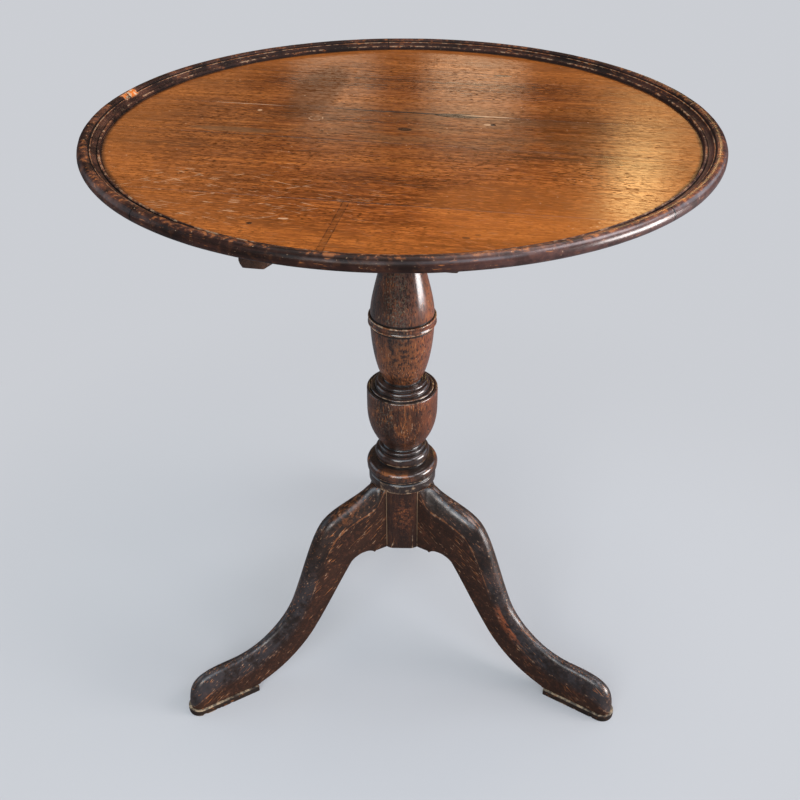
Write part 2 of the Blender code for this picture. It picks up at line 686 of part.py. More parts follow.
def make_tongue(leg, column, name, frame):
    inside = leg_root + OVERCUT
    tail_end = LEG_FLAT - TONGUE_DEPTH
    neck = TONGUE_NECK - (TONGUE_TAIL - TONGUE_NECK) / TONGUE_DEPTH * OVERCUT
    tongue = dovetail(inside, tail_end, neck, TONGUE_TAIL, COLUMN_FOOT + FIT, TONGUE_TOP)
    combine(leg, add_object(f"tongue_{name}", tongue, frame, None), "UNION")
    flat = box((LEG_FLAT, -DRUM_RADIUS, COLUMN_FOOT - OVERCUT),
               (DRUM_RADIUS + OVERCUT, DRUM_RADIUS, COLLAR_BASE - FIT))
    cut(add_object(f"flat_{name}", flat, frame, None), column)
    slot = dovetail(inside, tail_end - FIT, neck + 2 * FIT, TONGUE_TAIL + 2 * FIT,
                    COLUMN_FOOT - OVERCUT, TONGUE_TOP + FIT)
    cut(add_object(f"slot_{name}", slot, frame, None), column)


def make_sole(name, frame):
    heel = HEEL_REACH + SOLE_HEEL_STEP
    heel_half = leg_half_width(heel) + SOLE_LEDGE
    toe_half = TOE_THICKNESS / 2 + SOLE_LEDGE
    toe_eye = (TOE_REACH + SOLE_LEDGE - toe_half, 0.0)
    outline = [(heel, heel_half), (heel, -heel_half)]
    outline += arc(toe_eye, (toe_half, toe_half), -pi / 2, pi / 2, 12)
    bm = extruded([(x, y, 0.0) for x, y in outline], (0, 0, SOLE_THICKNESS))
    sole = add_object(f"sole_{name}", bm, frame, DARK_OAK)
    soften = sole.modifiers.new("worn_edge", "BEVEL")
    soften.width = SOLE_EDGE
    soften.segments = 1
    soften.limit_method = "ANGLE"


def make_legs(column, brace):
    for name, turn in LEG_TURNS.items():
        frame = empty(f"leg_line_{name}", (0, 0, 0), turn)
        leg = add_object(f"leg_{name}", leg_loft(), frame, DARK_OAK)
        make_tongue(leg, column, name, frame)
        make_sole(name, frame)
        head = (BRACE_SCREW_REACH, 0, brace_bottom)
        screw(f"brace_screw_{name}", BRACE_SCREW, head, (0, 0, 0), frame, IRON, brace, leg)


# Three-armed iron brace across the leg joints

def make_brace(column):
    half = BRACE_ARM_WIDTH / 2
    spread = asin(half / BRACE_HUB)
    between = 2 * pi / len(LEG_TURNS)
    outline = []
    for turn in LEG_TURNS.values():
        for x, y in arc((BRACE_REACH - half, 0.0), (half, half), -pi / 2, pi / 2, 6):
            outline.append((x * cos(turn) - y * sin(turn), x * sin(turn) + y * cos(turn)))
        outline += arc((0.0, 0.0), (BRACE_HUB, BRACE_HUB), turn + spread, turn + between - spread, 6)
    plate = extruded([(x, y, brace_bottom) for x, y in outline], (0, 0, BRACE_THICKNESS))
    brace = add_object("brace_plate", plate, None, IRON)
    screw("brace_screw_centre", BRACE_SCREW, (0, 0, brace_bottom), (0, 0, 0), None, IRON, brace, column)
    return brace


# Catch: cast case with a sliding bolt under the top, keeper on the block

def make_case(board):
    channel_half = BOLT_WIDTH / 2 + FIT
    channel_low = catch_level - BOLT_HEIGHT / 2 - FIT
    channel_high = catch_level + BOLT_HEIGHT / 2 + FIT
    bottom = channel_low - CASE_WALL
    flange = hung_level - FLANGE_THICKNESS
    far_end = case_end - CASE_LENGTH
    sides = [(-FLANGE_WIDTH / 2, hung_level), (-FLANGE_WIDTH / 2, flange)]
    sides += [(-CASE_WIDTH / 2, flange), (-CASE_WIDTH / 2, bottom)]
    sides += [(-x, z) for x, z in reversed(sides)]
    bm = extruded([(x, far_end, z) for x, z in sides], (0, CASE_LENGTH, 0))
    case = add_object("catch_case", bm, top_origin, BRASS)
    low = (-channel_half, far_end - OVERCUT, channel_low)
    high = (channel_half, case_end + OVERCUT, channel_high)
    cut(add_object("bolt_channel", box(low, high), top_origin, None), case)
    slot_half = KNOB_STEM + SIDE_PLAY
    drawn = bolt_end - KNOB_SETBACK
    low = (-slot_half, drawn - slot_half, bottom - OVERCUT)
    high = (slot_half, drawn + BOLT_TRAVEL + slot_half, catch_level)
    cut(add_object("knob_slot", box(low, high), top_origin, None), case)
    across = (FLANGE_WIDTH + CASE_WIDTH) / 4
    ends = (case_end - FLANGE_SCREW_INSET, far_end + FLANGE_SCREW_INSET)
    places = [(side * across, end) for end in ends for side in (-1, 1)]
    for index, (x, y) in enumerate(places, start=1):
        screw(f"catch_screw_{index}", CATCH_SCREW, (x, y, flange), (0, 0, 0), top_origin, BRASS, case, board)


def make_bolt():
    rise = BOLT_HEIGHT / 2
    sides = [(-BOLT_LENGTH, -rise), (0.0, -rise), (0.0, rise - BOLT_NOSE)]
    sides += [(-BOLT_NOSE, rise), (-BOLT_LENGTH, rise)]
    bm = extruded([(-BOLT_WIDTH / 2, y, z) for y, z in sides], (BOLT_WIDTH, 0, 0))
    bolt = add_object("catch_bolt", bm, catch_slide, BRASS)
    stem_top = STEM_IN_BOLT - rise
    stem_turn = pi / 2 - asin(KNOB_STEM / KNOB_RADIUS)
    profile = [(KNOB_STEM, stem_top)]
    profile += arc((0.0, -KNOB_DROP), (KNOB_RADIUS, KNOB_RADIUS), stem_turn, -KNOB_BASE_TURN, 7)
    add_object("catch_knob", turned(profile, PIN_SEGMENTS), catch_slide, BRASS, (0, -KNOB_SETBACK, 0))
    start = (0, -KNOB_SETBACK, -rise - OVERCUT)
    end = (0, -KNOB_SETBACK, stem_top + FIT)
    cut(rod("stem_hole", KNOB_STEM + FIT, start, end, catch_slide), bolt)


def make_keeper(block):
    face = -BLOCK_DEPTH / 2
    low = (-KEEPER_WIDTH / 2, keeper_front, catch_level - KEEPER_HEIGHT / 2)
    high = (KEEPER_WIDTH / 2, face - FIT, catch_level + KEEPER_HEIGHT / 2)
    keeper = add_object("catch_keeper", box(low, high), block_seat, BRASS)
    half = BOLT_WIDTH / 2 + SIDE_PLAY
    rise = BOLT_HEIGHT / 2 + SIDE_PLAY
    low = (-half, keeper_front - OVERCUT, catch_level - rise)
    high = (half, face + MORTISE_DEPTH, catch_level + rise)
    cut(add_object("bolt_mortise", box(low, high), block_seat, None), keeper, block)
    for name, side in (("keeper_screw_left", -1), ("keeper_screw_right", 1)):
        head = (side * KEEPER_SCREW_SPACING / 2, keeper_front, catch_level)
        screw(name, CATCH_SCREW, head, (-pi / 2, 0, 0), block_seat, BRASS, keeper, block)


top_boards = make_boards()
make_rim()
make_bearers(top_boards)
make_case(top_boards[1])
make_bolt()
tilt_block = make_block()
make_pivots(tilt_block)
make_keeper(tilt_block)
stem = make_column()
make_legs(stem, make_brace(stem))
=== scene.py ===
from math import atan2, cos, hypot, pi, radians, sin, sqrt

import bmesh
import bpy
import numpy as np
from mathutils import Matrix, Vector, noise


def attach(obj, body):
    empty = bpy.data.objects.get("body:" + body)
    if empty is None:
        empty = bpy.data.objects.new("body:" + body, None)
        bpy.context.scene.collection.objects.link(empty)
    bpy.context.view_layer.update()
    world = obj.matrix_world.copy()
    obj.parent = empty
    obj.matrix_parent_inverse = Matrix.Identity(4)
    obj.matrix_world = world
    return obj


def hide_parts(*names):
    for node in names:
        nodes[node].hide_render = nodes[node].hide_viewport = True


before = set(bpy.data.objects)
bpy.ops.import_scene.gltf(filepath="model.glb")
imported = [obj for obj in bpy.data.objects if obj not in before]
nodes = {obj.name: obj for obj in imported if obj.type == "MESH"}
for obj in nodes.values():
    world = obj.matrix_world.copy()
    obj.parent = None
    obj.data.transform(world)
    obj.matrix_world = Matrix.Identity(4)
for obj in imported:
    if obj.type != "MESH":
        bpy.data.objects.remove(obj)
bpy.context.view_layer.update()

grainTurn = radians(9.0)          # the boards run 9 degrees clockwise of +X
print("frame loaded:", len(nodes), "nodes")


# a socket that can stand in a sum
class Wire:
    def __init__(self, paint, socket):
        self.paint = paint
        self.socket = socket

    def maths(self, operation, *values):
        return self.paint.node("ShaderNodeMath", {"operation": operation}, dict(enumerate(values)))

    def __add__(self, other):
        return self.maths("ADD", self, other)

    def __radd__(self, other):
        return self.maths("ADD", other, self)

    def __sub__(self, other):
        return self.maths("SUBTRACT", self, other)

    def __rsub__(self, other):
        return self.maths("SUBTRACT", other, self)

    def __mul__(self, other):
        return self.maths("MULTIPLY", self, other)

    def __rmul__(self, other):
        return self.maths("MULTIPLY", other, self)

    def __pow__(self, other):
        return self.maths("POWER", self, other)

    def __abs__(self):
        return self.maths("ABSOLUTE", self)

    def most(self, other):
        return self.maths("MAXIMUM", self, other)

    def least(self, other):
        return self.maths("MINIMUM", self, other)


# one material; colours go by their names in tones
class Paint:
    def __init__(self, name, tones):
        self.material = bpy.data.materials.new(name)
        self.material.use_nodes = True
        self.tree = self.material.node_tree
        self.shader = self.tree.nodes["Principled BSDF"]
        self.tones = tones
        self.colour = None
        self.place = self.node("ShaderNodeTexCoord", out="Object")

    def node(self, kind, settings=None, sockets=None, out=0):
        made = self.tree.nodes.new(kind)
        for key, value in (settings or {}).items():
            setattr(made, key, value)
        for key, value in (sockets or {}).items():
            self.feed(made.inputs[key], value)
        return Wire(self, made.outputs[out])

    def feed(self, socket, value):
        if isinstance(value, Wire):
            self.tree.links.new(value.socket, socket)
        elif isinstance(value, str):
            socket.default_value = (*self.tones[value], 1.0)
        else:
            socket.default_value = value

    def turned(self, vector, angle):
        return self.node("ShaderNodeMapping", {}, {"Vector": vector, "Rotation": (0, 0, angle)})

    def stretch(self, vector, sizes, shift):
        return self.node("ShaderNodeMapping", {}, {"Vector": vector, "Scale": sizes, "Location": shift})

    def split(self, vector):
        made = self.node("ShaderNodeSeparateXYZ", {}, {0: vector})
        return [Wire(self, out) for out in made.socket.node.outputs]

    def join(self, x, y, z):
        return self.node("ShaderNodeCombineXYZ", {}, {0: x, 1: y, 2: z})

    def noise(self, vector, sizes, detail=3.0, rough=0.5, twist=0.0, shift=(0, 0, 0)):
        sockets = {"Vector": self.stretch(vector, sizes, shift), "Scale": 1.0,
                   "Detail": detail, "Roughness": rough, "Distortion": twist}
        return self.node("ShaderNodeTexNoise", {}, sockets)

    def cells(self, vector, sizes, shift):
        sockets = {"Vector": self.stretch(vector, sizes, shift), "Scale": 1.0}
        return self.node("ShaderNodeTexVoronoi", {}, sockets, "Distance")

    def ease(self, value, low, high):
        sockets = {"Value": value, "From Min": low, "From Max": high}
        return self.node("ShaderNodeMapRange", {"interpolation_type": "SMOOTHSTEP"}, sockets)

    def ramp(self, value, *stops):
        made = self.node("ShaderNodeValToRGB", {}, {0: value}, "Color")
        elements = made.socket.node.color_ramp.elements
        elements.remove(elements[-1])
        elements[0].position = stops[0][0]
        for k, (place, tone) in enumerate(stops):
            element = elements.new(place) if k else elements[0]
            element.color = (*self.tones[tone], 1.0)
        return made

    def mix(self, share, first, second):
        sockets = {0: share, 6: first, 7: second}
        return self.node("ShaderNodeMix", {"data_type": "RGBA", "clamp_factor": True}, sockets, 2)

    def over(self, share, tone):      # lays a tone over the colour so far
        self.colour = self.mix(share, self.colour, tone)

    def tint(self, colour, factor):
        sockets = {0: 1.0, 6: colour, 7: factor}
        return self.node("ShaderNodeMix", {"data_type": "RGBA", "blend_type": "MULTIPLY"}, sockets, 2)

    def stored(self, name):
        return self.node("ShaderNodeAttribute", {"attribute_name": name}, {}, "Fac")

    def reach(self, x, y, zone):      # 1 on the edge of an oval
        (midX, midY), (halfX, halfY) = zone
        return ((x - midX) * (1.0 / halfX)) ** 2.0 + ((y - midY) * (1.0 / halfY)) ** 2.0

    def spot(self, x, y, zone, soft):
        return 1.0 - self.ease(self.reach(x, y, zone), 1.0 - soft, 1.0 + soft)

    def anyOf(self, shares):
        largest = shares[0]
        for share in shares[1:]:
            largest = largest.most(share)
        return largest

    def done(self, roughness, height, depth, gloss=None, **constants):
        inputs = self.shader.inputs
        self.feed(inputs["Base Color"], self.colour)
        self.feed(inputs["Roughness"], roughness)
        if gloss is not None:
            self.feed(inputs["Coat Weight"], gloss)
        for name, value in constants.items():
            inputs[name.replace("_", " ")].default_value = value
        bump = self.node("ShaderNodeBump", {}, {"Height": height, "Distance": depth, "Strength": 1.0})
        self.feed(inputs["Normal"], bump)
        return self.material


def deselectAll():
    if bpy.context.mode != "OBJECT":
        bpy.ops.object.mode_set(mode="OBJECT")
    bpy.ops.object.select_all(action="DESELECT")


def editMode():
    bpy.ops.object.mode_set(mode="EDIT")


def selectAll():
    bpy.ops.mesh.select_all(action="SELECT")


def extrude(step):
    bpy.ops.mesh.extrude_region_move(TRANSFORM_OT_translate={"value": step})


def named(name):
    piece = bpy.context.object
    piece.name = piece.data.name = name
    return piece


def applyPlace():
    bpy.ops.object.transform_apply(location=True, rotation=True, scale=True)


def pick(piece):
    deselectAll()
    piece.select_set(True)
    bpy.context.view_layer.objects.active = piece


def arcPoints(centre, radii, start, end, steps):
    angles = [start + (end - start) * k / steps for k in range(steps + 1)]
    return [(centre[0] + radii[0] * cos(a), centre[1] + radii[1] * sin(a)) for a in angles]


# the two handles are given as shares of the run from start to end
def curvePoints(start, shares, end, steps):
    run = (end[0] - start[0], end[1] - start[1])
    hands = [(start[0] + x * run[0], start[1] + y * run[1]) for x, y in shares]
    corners = (start, *hands, end)
    points = []
    for k in range(1, steps + 1):
        t = k / steps
        weights = ((1 - t) ** 3, 3 * t * (1 - t) ** 2, 3 * t * t * (1 - t), t ** 3)
        points.append(tuple(sum(w * p[i] for w, p in zip(weights, corners)) for i in (0, 1)))
    return points


def thinned(points, least=0.00004):
    kept = [points[0]]
    for point in points[1:]:
        if hypot(point[0] - kept[-1][0], point[1] - kept[-1][1]) > least:
            kept.append(point)
    return kept


def startVertex(name, place):
    deselectAll()
    bpy.ops.mesh.primitive_plane_add(size=0.01)
    piece = named(name)
    editMode()
    bpy.ops.mesh.merge(type="CENTER")
    bpy.ops.transform.translate(value=place)
    return piece


def drawOutline(points, closed):
    here = points[0]
    for point in points[1:]:
        step = tuple(b - a for a, b in zip(here, point))
        extrude(step)
        here = point
    selectAll()
    if closed:
        bpy.ops.mesh.edge_face_add()
        bpy.ops.mesh.delete(type="ONLY_FACE")
        selectAll()


def closePiece():
    selectAll()
    bpy.ops.mesh.normals_make_consistent(inside=False)
    bpy.ops.object.mode_set(mode="OBJECT")


def spunPiece(name, outline, steps, start=0.0, sweep=2 * pi, closed=False):
    points = [(r * cos(start), r * sin(start), z) for r, z in outline]
    piece = startVertex(name, points[0])
    drawOutline(points, closed)
    full = sweep > 2 * pi - 0.001
    bpy.ops.mesh.spin(steps=steps, angle=sweep, center=(0, 0, 0), axis=(0, 0, 1), use_auto_merge=full)
    selectAll()
    bpy.ops.mesh.remove_doubles(threshold=0.00002)
    if not full:
        bpy.ops.mesh.select_all(action="DESELECT")
        bpy.ops.mesh.select_non_manifold(extend=False, use_wire=False, use_boundary=True,
                                         use_multi_face=False, use_non_contiguous=False, use_verts=False)
        bpy.ops.mesh.fill_holes(sides=0)
    closePiece()
    return piece


def loftPiece(name, sections):
    deselectAll()
    bpy.ops.mesh.primitive_circle_add(vertices=len(sections[0]), radius=0.01, fill_type="NGON")
    piece = named(name)
    for vert, place in zip(piece.data.vertices, sections[0]):
        vert.co = place
    editMode()
    selectAll()
    before = [Vector(p) for p in sections[0]]
    for section in sections[1:]:
        extrude((0, 0, 0))
        mesh = bmesh.from_edit_mesh(piece.data)
        fresh = [v for v in mesh.verts if v.select]
        for vert in fresh:
            vert.index = min(range(len(before)), key=lambda k: (before[k] - vert.co).length_squared)
        for vert in fresh:
            vert.co = section[vert.index]
        mesh.verts.index_update()
        bmesh.update_edit_mesh(piece.data)
        before = [Vector(p) for p in section]
    closePiece()
    return piece


def smoothed(piece, angle):
    pick(piece)
    bpy.ops.object.shade_smooth_by_angle(angle=radians(angle))


def applied(piece, kind, **settings):
    pick(piece)
    step = piece.modifiers.new(kind.lower(), kind)
    for key, value in settings.items():
        setattr(step, key, value)
    bpy.ops.object.modifier_apply(modifier=step.name)


def cutAway(piece, tool):
    applied(piece, "BOOLEAN", object=tool, operation="DIFFERENCE", solver="EXACT")
    bpy.data.objects.remove(tool, do_unlink=True)


def sizedTool(scale):
    tool = bpy.context.object
    tool.scale = scale
    applyPlace()
    return tool


def cubeTool(size, place, turn):
    deselectAll()
    bpy.ops.mesh.primitive_cube_add(size=1.0, location=place, rotation=(0, 0, turn))
    return sizedTool(size)


def ballTool(radius, place, scale, segments, rings):
    deselectAll()
    bpy.ops.mesh.primitive_uv_sphere_add(segments=segments, ring_count=rings, radius=radius, location=place)
    return sizedTool(scale)


def storeValues(piece, name, values):
    stored = piece.data.attributes.new(name, "FLOAT", "POINT")
    stored.data.foreach_set("value", np.asarray(values, np.float32))


# how far each point of an outline stands on an outer edge or in an inner corner
def outlineWear(outline, reach):
    points = np.array(outline)
    steps = np.diff(points, axis=0)
    runs = np.concatenate([[0.0], np.cumsum(np.hypot(steps[:, 0], steps[:, 1]))])
    ways = np.arctan2(steps[:, 1], steps[:, 0])
    turns = np.zeros(len(points))
    turns[1:-1] = (np.diff(ways) + pi) % (2 * pi) - pi
    near = np.exp(-((runs[:, None] - runs[None, :]) / reach) ** 2)
    fullTurn = 1.6
    worn = near @ np.maximum(turns, 0.0)
    hollowness = near @ np.maximum(-turns, 0.0)
    return runs, np.clip(worn / fullTurn, 0, 1), np.clip(hollowness / fullTurn, 0, 1)


def storeTurning(piece, outline, reach):
    runs, worn, hollowness = outlineWear(outline, reach)
    points = np.array(outline)
    places = np.zeros(len(piece.data.vertices) * 3)
    piece.data.vertices.foreach_get("co", places)
    places = places.reshape(-1, 3)
    radii = np.hypot(places[:, 0], places[:, 1])
    away = (radii[:, None] - points[None, :, 0]) ** 2 + (places[:, 2][:, None] - points[None, :, 1]) ** 2
    nearest = np.argmin(away, axis=1)
    storeValues(piece, "along", np.arctan2(places[:, 1], places[:, 0]) * 0.3)
    storeValues(piece, "around", runs[nearest])
    storeValues(piece, "wear", worn[nearest])
    storeValues(piece, "hollow", hollowness[nearest])


def dressed(piece, material, body, slot, *stands):
    piece.data.materials.clear()
    piece.data.materials.append(material)
    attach(piece, body)
    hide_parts(*stands)


boardTones = {
    "dark": (0.07, 0.019, 0.0045), "middle": (0.215, 0.057, 0.0105), "light": (0.47, 0.145, 0.027),
    "pore": (0.04, 0.013, 0.004), "scratch": (0.6, 0.34, 0.18), "stainAndShade": (0.088, 0.027, 0.0065),
    "smoke": (0.125, 0.06, 0.026), "darkFill": (0.02, 0.01, 0.006), "ink": (0.02, 0.013, 0.008),
    "paintedLight": (1.35, 1.24, 1.06), "rawDark": (0.05, 0.024, 0.012), "rawLight": (0.15, 0.072, 0.034),
}
# sizes along, across and through a board, then detail, roughness and twist
boardGrain = {
    "tone": ((2.6, 17, 5), 3.0, 0.55, 0.3), "bands": ((6, 150, 20), 4.0, 0.68, 0.2),
    "fibre": ((46, 640, 90), 2.0, 0.6), "mottle": ((16, 30, 9), 5.0, 0.66),
    "dashes": ((130, 620, 120), 1.0), "pores": ((210, 720, 300), 1.0), "strands": ((9, 330, 40), 3.0, 0.6),
}
# places along and across the grain with half sizes, or a start and an end
boardZones = {
    "smoke": ((0.055, 0.005), (0.18, 0.07)), "scuffs": ((-0.125, -0.18), (0.13, 0.06)),
    "dullBack": ((-0.112, 0.105), (0.028, 0.1)), "dullRight": ((0.165, 0.03), (0.032, 0.08)),
    "ring": ((-0.0914, 0.0153), (0.0072, 0.0064)),
    "strip": ((-0.0145, -0.235), 0.0027), "stripEdge": (0.0024, 0.003),
    "front": (-0.235, -0.02), "outer": (0.2, 0.283), "rimEdgeDark": (0.2836, 0.2876),
    "underside": (0.6925, 0.694),
}
# turn against the grain, sizes, threshold
boardScratches = ((0.35, (24, 760, 1), 0.66), (-0.55, (30, 820, 1), 0.67), (0.06, (16, 700, 1), 0.66))
# place along and across the grain, half sizes, softness, tone, strength
boardMarks = (
    (0.003, -0.003, 0.007, 0.0045, 0.8, "ink", 0.75),          # knot
    (0.0828, 0.0244, 0.0048, 0.0028, 0.7, "scratch", 0.6),    # pale wood by the hole
    (0.0873, 0.0249, 0.0028, 0.0026, 0.5, "ink", 0.9),
    (-0.1546, 0.0299, 0.0024, 0.0027, 0.6, "scratch", 0.8),    # pale nick
    (-0.0817, -0.2433, 0.0026, 0.0022, 0.6, "ink", 0.85),
    (0.0924, -0.2413, 0.0032, 0.0019, 0.6, "ink", 0.7),
    (0.101, -0.2343, 0.0026, 0.0016, 0.6, "ink", 0.55),
    (-0.0573, -0.2302, 0.0042, 0.0014, 0.6, "scratch", 0.85),
    (0.148, -0.0595, 0.03, 0.003, 0.9, "stainAndShade", 0.75),
    (-0.16, -0.031, 0.045, 0.007, 0.9, "smoke", 0.65),
    (0.05, 0.0465, 0.024, 0.0062, 0.9, "ink", 0.85),          # smudge on the crack
    (-0.012, 0.0482, 0.066, 0.0017, 0.6, "ink", 0.95),         # open crack
    (-0.171, 0.0482, 0.036, 0.0008, 0.6, "scratch", 0.7),
    (0.08, 0.0492, 0.026, 0.0012, 0.6, "scratch", 0.85),
    (0.0821, 0.1935, 0.01, 0.0034, 0.9, "ink", 0.7),
    (0.045, -0.188, 0.085, 0.0009, 0.6, "darkFill", 0.5),
    (-0.1, -0.043, 0.07, 0.0008, 0.6, "darkFill", 0.4),
    # painted shade: this mark and the next are dark bands across the grain
    (-0.112, 0.105, 0.026, 0.09, 0.9, "stainAndShade", 0.66),         # shade across the back boards
    (0.165, 0.03, 0.032, 0.07, 0.9, "stainAndShade", 0.36),
    (-0.13, -0.18, 0.1, 0.055, 0.9, "stainAndShade", 0.18),
    (0.14, -0.185, 0.09, 0.06, 0.9, "light", 0.3),
)


def boardOak(name, seed, edges):
    paint, zones = Paint(name, boardTones), boardZones
    ease, over, spot = paint.ease, paint.over, paint.spot
    grain = paint.turned(paint.place, grainTurn)
    x, y, z = paint.split(grain)
    shift = (seed * 3.17, seed * 1.73, seed * 0.61)
    tone, bands, fibre, mottle, dashes, pores, strands = (
        paint.noise(grain, *layer, shift=shift) for layer in boardGrain.values())
    glints = paint.noise(grain, (100, 540, 120), 1.0, shift=(seed, 7.0, 0.0))
    clouds = paint.noise(grain, (6, 13, 6), 5.0, 0.65, shift=(seed, 4.0, 0.0))
    figure = tone * 0.4 + bands * 0.44 + fibre * 0.3 + mottle * 0.34 - 0.24
    paint.colour = paint.ramp(figure, (0.36, "dark"), (0.5, "middle"), (0.66, "light"))
    over(ease(dashes, 0.54, 0.61) * 0.62, "dark")
    over((1.0 - ease(glints, 0.36, 0.44)) * 0.48, "light")
    openPores = ease(pores, 0.56, 0.63)
    poreMark = openPores * ease(mottle, 0.36, 0.54)
    over(poreMark * 0.85, "pore")
    # painted light: the front of the field is made lighter by a tint, as if more light fell on it
    front = 1.0 - ease(y + (mottle - 0.5) * 0.1, *zones["front"])
    over(front * 0.85, paint.tint(paint.colour, "paintedLight"))
    streaks = ease(strands, 0.5, 0.62)
    over(streaks * 0.42, "dark")
    over(ease(clouds, 0.52, 0.7) * 0.36, "stainAndShade")
    over(spot(x, y, zones["smoke"], 0.9) * ease(mottle, 0.38, 0.62) * 0.55, "smoke")
    away = (x * x + y * y) ** 0.5
    over(ease(away, *zones["outer"]) * 0.28, "light")
    # darker in a thin ring where the field meets the rim
    rimEdgeDark = ease(away + (mottle - 0.5) * 0.006, *zones["rimEdgeDark"])
    over(rimEdgeDark * 0.8, "darkFill")
    inside = (y - edges[0]).least(edges[1] - y)
    jointDirt = 1.0 - ease(inside - (mottle - 0.55) * 0.0014, 0.0, 0.0009)
    over(jointDirt * 0.68, "darkFill")
    ragged = (dashes - 0.5) * 1.2 + (mottle - 0.5) * 1.0
    for along, across, halfAlong, halfAcross, soft, toneName, strength in boardMarks:
        if edges[0] - halfAcross < across < edges[1] + halfAcross:
            mark = spot(x, y, ((along, across), (halfAlong, halfAcross)), soft)
            over(ease(mark + ragged * mark, 0.1, 0.8) * strength, toneName)
    if edges[0] < zones["ring"][0][1] < edges[1]:
        off = abs(paint.reach(x, y, zones["ring"]) - 1.0 + (mottle - 0.5) * 0.8)
        over((1.0 - ease(off, 0.05, 0.3)) * ease(dashes, 0.42, 0.52) * 0.6, "scratch")
    (along, across), half = zones["strip"]
    if edges[0] < across < edges[1]:      # strip let into the front board
        off = abs(x - along + (mottle - 0.5) * 0.0008)
        over((1.0 - ease(off, *zones["stripEdge"])) * 0.32, "stainAndShade")
        over((1.0 - ease(abs(off - half), 0.0002, 0.0008)) * ease(dashes, 0.38, 0.5) * 0.6, "darkFill")
    marks = []
    for turn, sizes, least in boardScratches:
        lines = paint.noise(paint.turned(grain, turn), sizes, 1.0, 0.4, shift=(seed, turn * 9, 0))
        marks.append(ease(lines, least, least + 0.05))
    broken = ease(paint.noise(grain, (80, 80, 80), 2.0, shift=(3.0, seed, 0)), 0.47, 0.62)
    scratch = paint.anyOf(marks) * broken * (spot(x, y, zones["scuffs"], 0.8) * 0.85 + 0.16)
    over(scratch * 0.8, "scratch")
    speck = 1.0 - ease(paint.cells(grain, (110, 210, 110), (seed, 0, 0)), 0.06, 0.15)
    speck = speck * ease(paint.noise(grain, (37, 37, 37), shift=(0, seed, 7)), 0.58, 0.64)
    over(speck * 0.75, "scratch")
    under = 1.0 - ease(z, *zones["underside"])
    rawTone = paint.ramp(tone * 0.4 + bands * 0.4 + fibre * 0.2, (0.38, "rawDark"), (0.64, "rawLight"))
    over(under, paint.mix(openPores * 0.6, rawTone, "darkFill"))
    roughness = 0.36 + fibre * 0.12 + scratch * 0.2 + rimEdgeDark * 0.2 + under * 0.3
    height = fibre * 0.3 + dashes * 0.25 + mottle * 0.25 - poreMark * 0.35 - scratch * 0.15 - rimEdgeDark * 0.2
    dull = spot(x, y, zones["dullBack"], 0.9).most(spot(x, y, zones["dullRight"], 0.9))
    worn = poreMark * 0.65 + ease(dashes, 0.51, 0.6) * 0.42 + streaks * 0.3 + scratch * 0.2 + dull * 0.3
    gloss = (0.95 - worn) * (1.0 - under)
    return paint.done(roughness, height, 0.00021, gloss, Coat_Roughness=0.19, Specular_IOR_Level=0.0)


darkTones = {
    "black": (0.015, 0.0085, 0.0068), "red": (0.165, 0.052, 0.026), "orange": (0.44, 0.145, 0.04),
    "pale": (0.66, 0.44, 0.27), "hollow": (0.008, 0.0055, 0.0045), "grey": (0.15, 0.122, 0.09),
    "hot": (0.66, 0.17, 0.03), "plum": (0.045, 0.0185, 0.0135),
}


# the layers that all the dark finishes share
class DarkPaint(Paint):
    def __init__(self, name, tones, line):
        super().__init__(name, {**darkTones, **tones})
        self.line = line(self)
        tone = self.noise(self.line, (10, 75, 75), 4.0, 0.6, 0.4)
        fibre = self.noise(self.line, (30, 700, 700), 2.0, 0.6)
        patch = self.noise(self.place, (36, 36, 36), 5.0, 0.66)
        fine = self.noise(self.place, (190, 190, 190), 3.0, 0.6)
        grit = self.noise(self.place, (520, 520, 520), 2.0)
        self.layers = (tone, fibre, patch, fine, grit)

    def flecks(self, along, across, least, seed=0.0):
        lines = self.noise(self.line, (along, across, across), 1.0, 0.4, shift=(seed, seed, seed))
        return self.ease(lines, least, least + 0.05)


def alongLine(paint):
    return paint.join(paint.stored("along"), paint.stored("around"), 0.0)


def plankLine(paint):
    return paint.join(paint.stored("along"), paint.stored("across"), paint.stored("offside"))


def uprightLine(paint):
    x, y, z = paint.split(paint.place)
    return paint.join(z, x, y)


rawTones = {"dark": (0.026, 0.0105, 0.0052), "light": (0.092, 0.036, 0.016), "pore": (0.018, 0.008, 0.0045)}
brassTones = {"dark": (0.16, 0.085, 0.022), "middle": (0.42, 0.26, 0.075), "bright": (0.62, 0.42, 0.15)}
ironTones = {"dark": (0.02, 0.018, 0.016), "middle": (0.055, 0.047, 0.04), "rust": (0.12, 0.055, 0.025)}


def rawOak(name, turn):
    paint = Paint(name, rawTones)
    line = paint.turned(paint.place, turn)
    tone = paint.noise(line, (5, 42, 42), 4.0, 0.6, 0.4)
    fibre = paint.noise(line, (16, 700, 700), 2.0)
    pores = paint.ease(paint.noise(line, (90, 1200, 1200), 1.0), 0.6, 0.7)
    paint.colour = paint.ramp(tone * 0.6 + fibre * 0.4, (0.36, "dark"), (0.64, "light"))
    paint.over(pores * 0.6, "pore")
    soot = paint.ease(paint.noise(paint.place, (17, 17, 17), 4.0), 0.5, 0.72)
    paint.over(soot * 0.45, "dark")
    return paint.done(0.62 + fibre * 0.15, fibre * 0.5 - pores * 0.4 + tone * 0.3, 0.0004)


def agedBrass(name):
    paint = Paint(name, brassTones)
    patch = paint.noise(paint.place, (120, 120, 120), 4.0, 0.6)
    fine = paint.noise(paint.place, (900, 900, 900), 2.0)
    paint.colour = paint.ramp(patch, (0.35, "dark"), (0.55, "middle"), (0.75, "bright"))
    return paint.done(0.3 + patch * 0.25 + fine * 0.1, patch * 0.5 + fine * 0.3, 0.0002, Metallic=1.0)


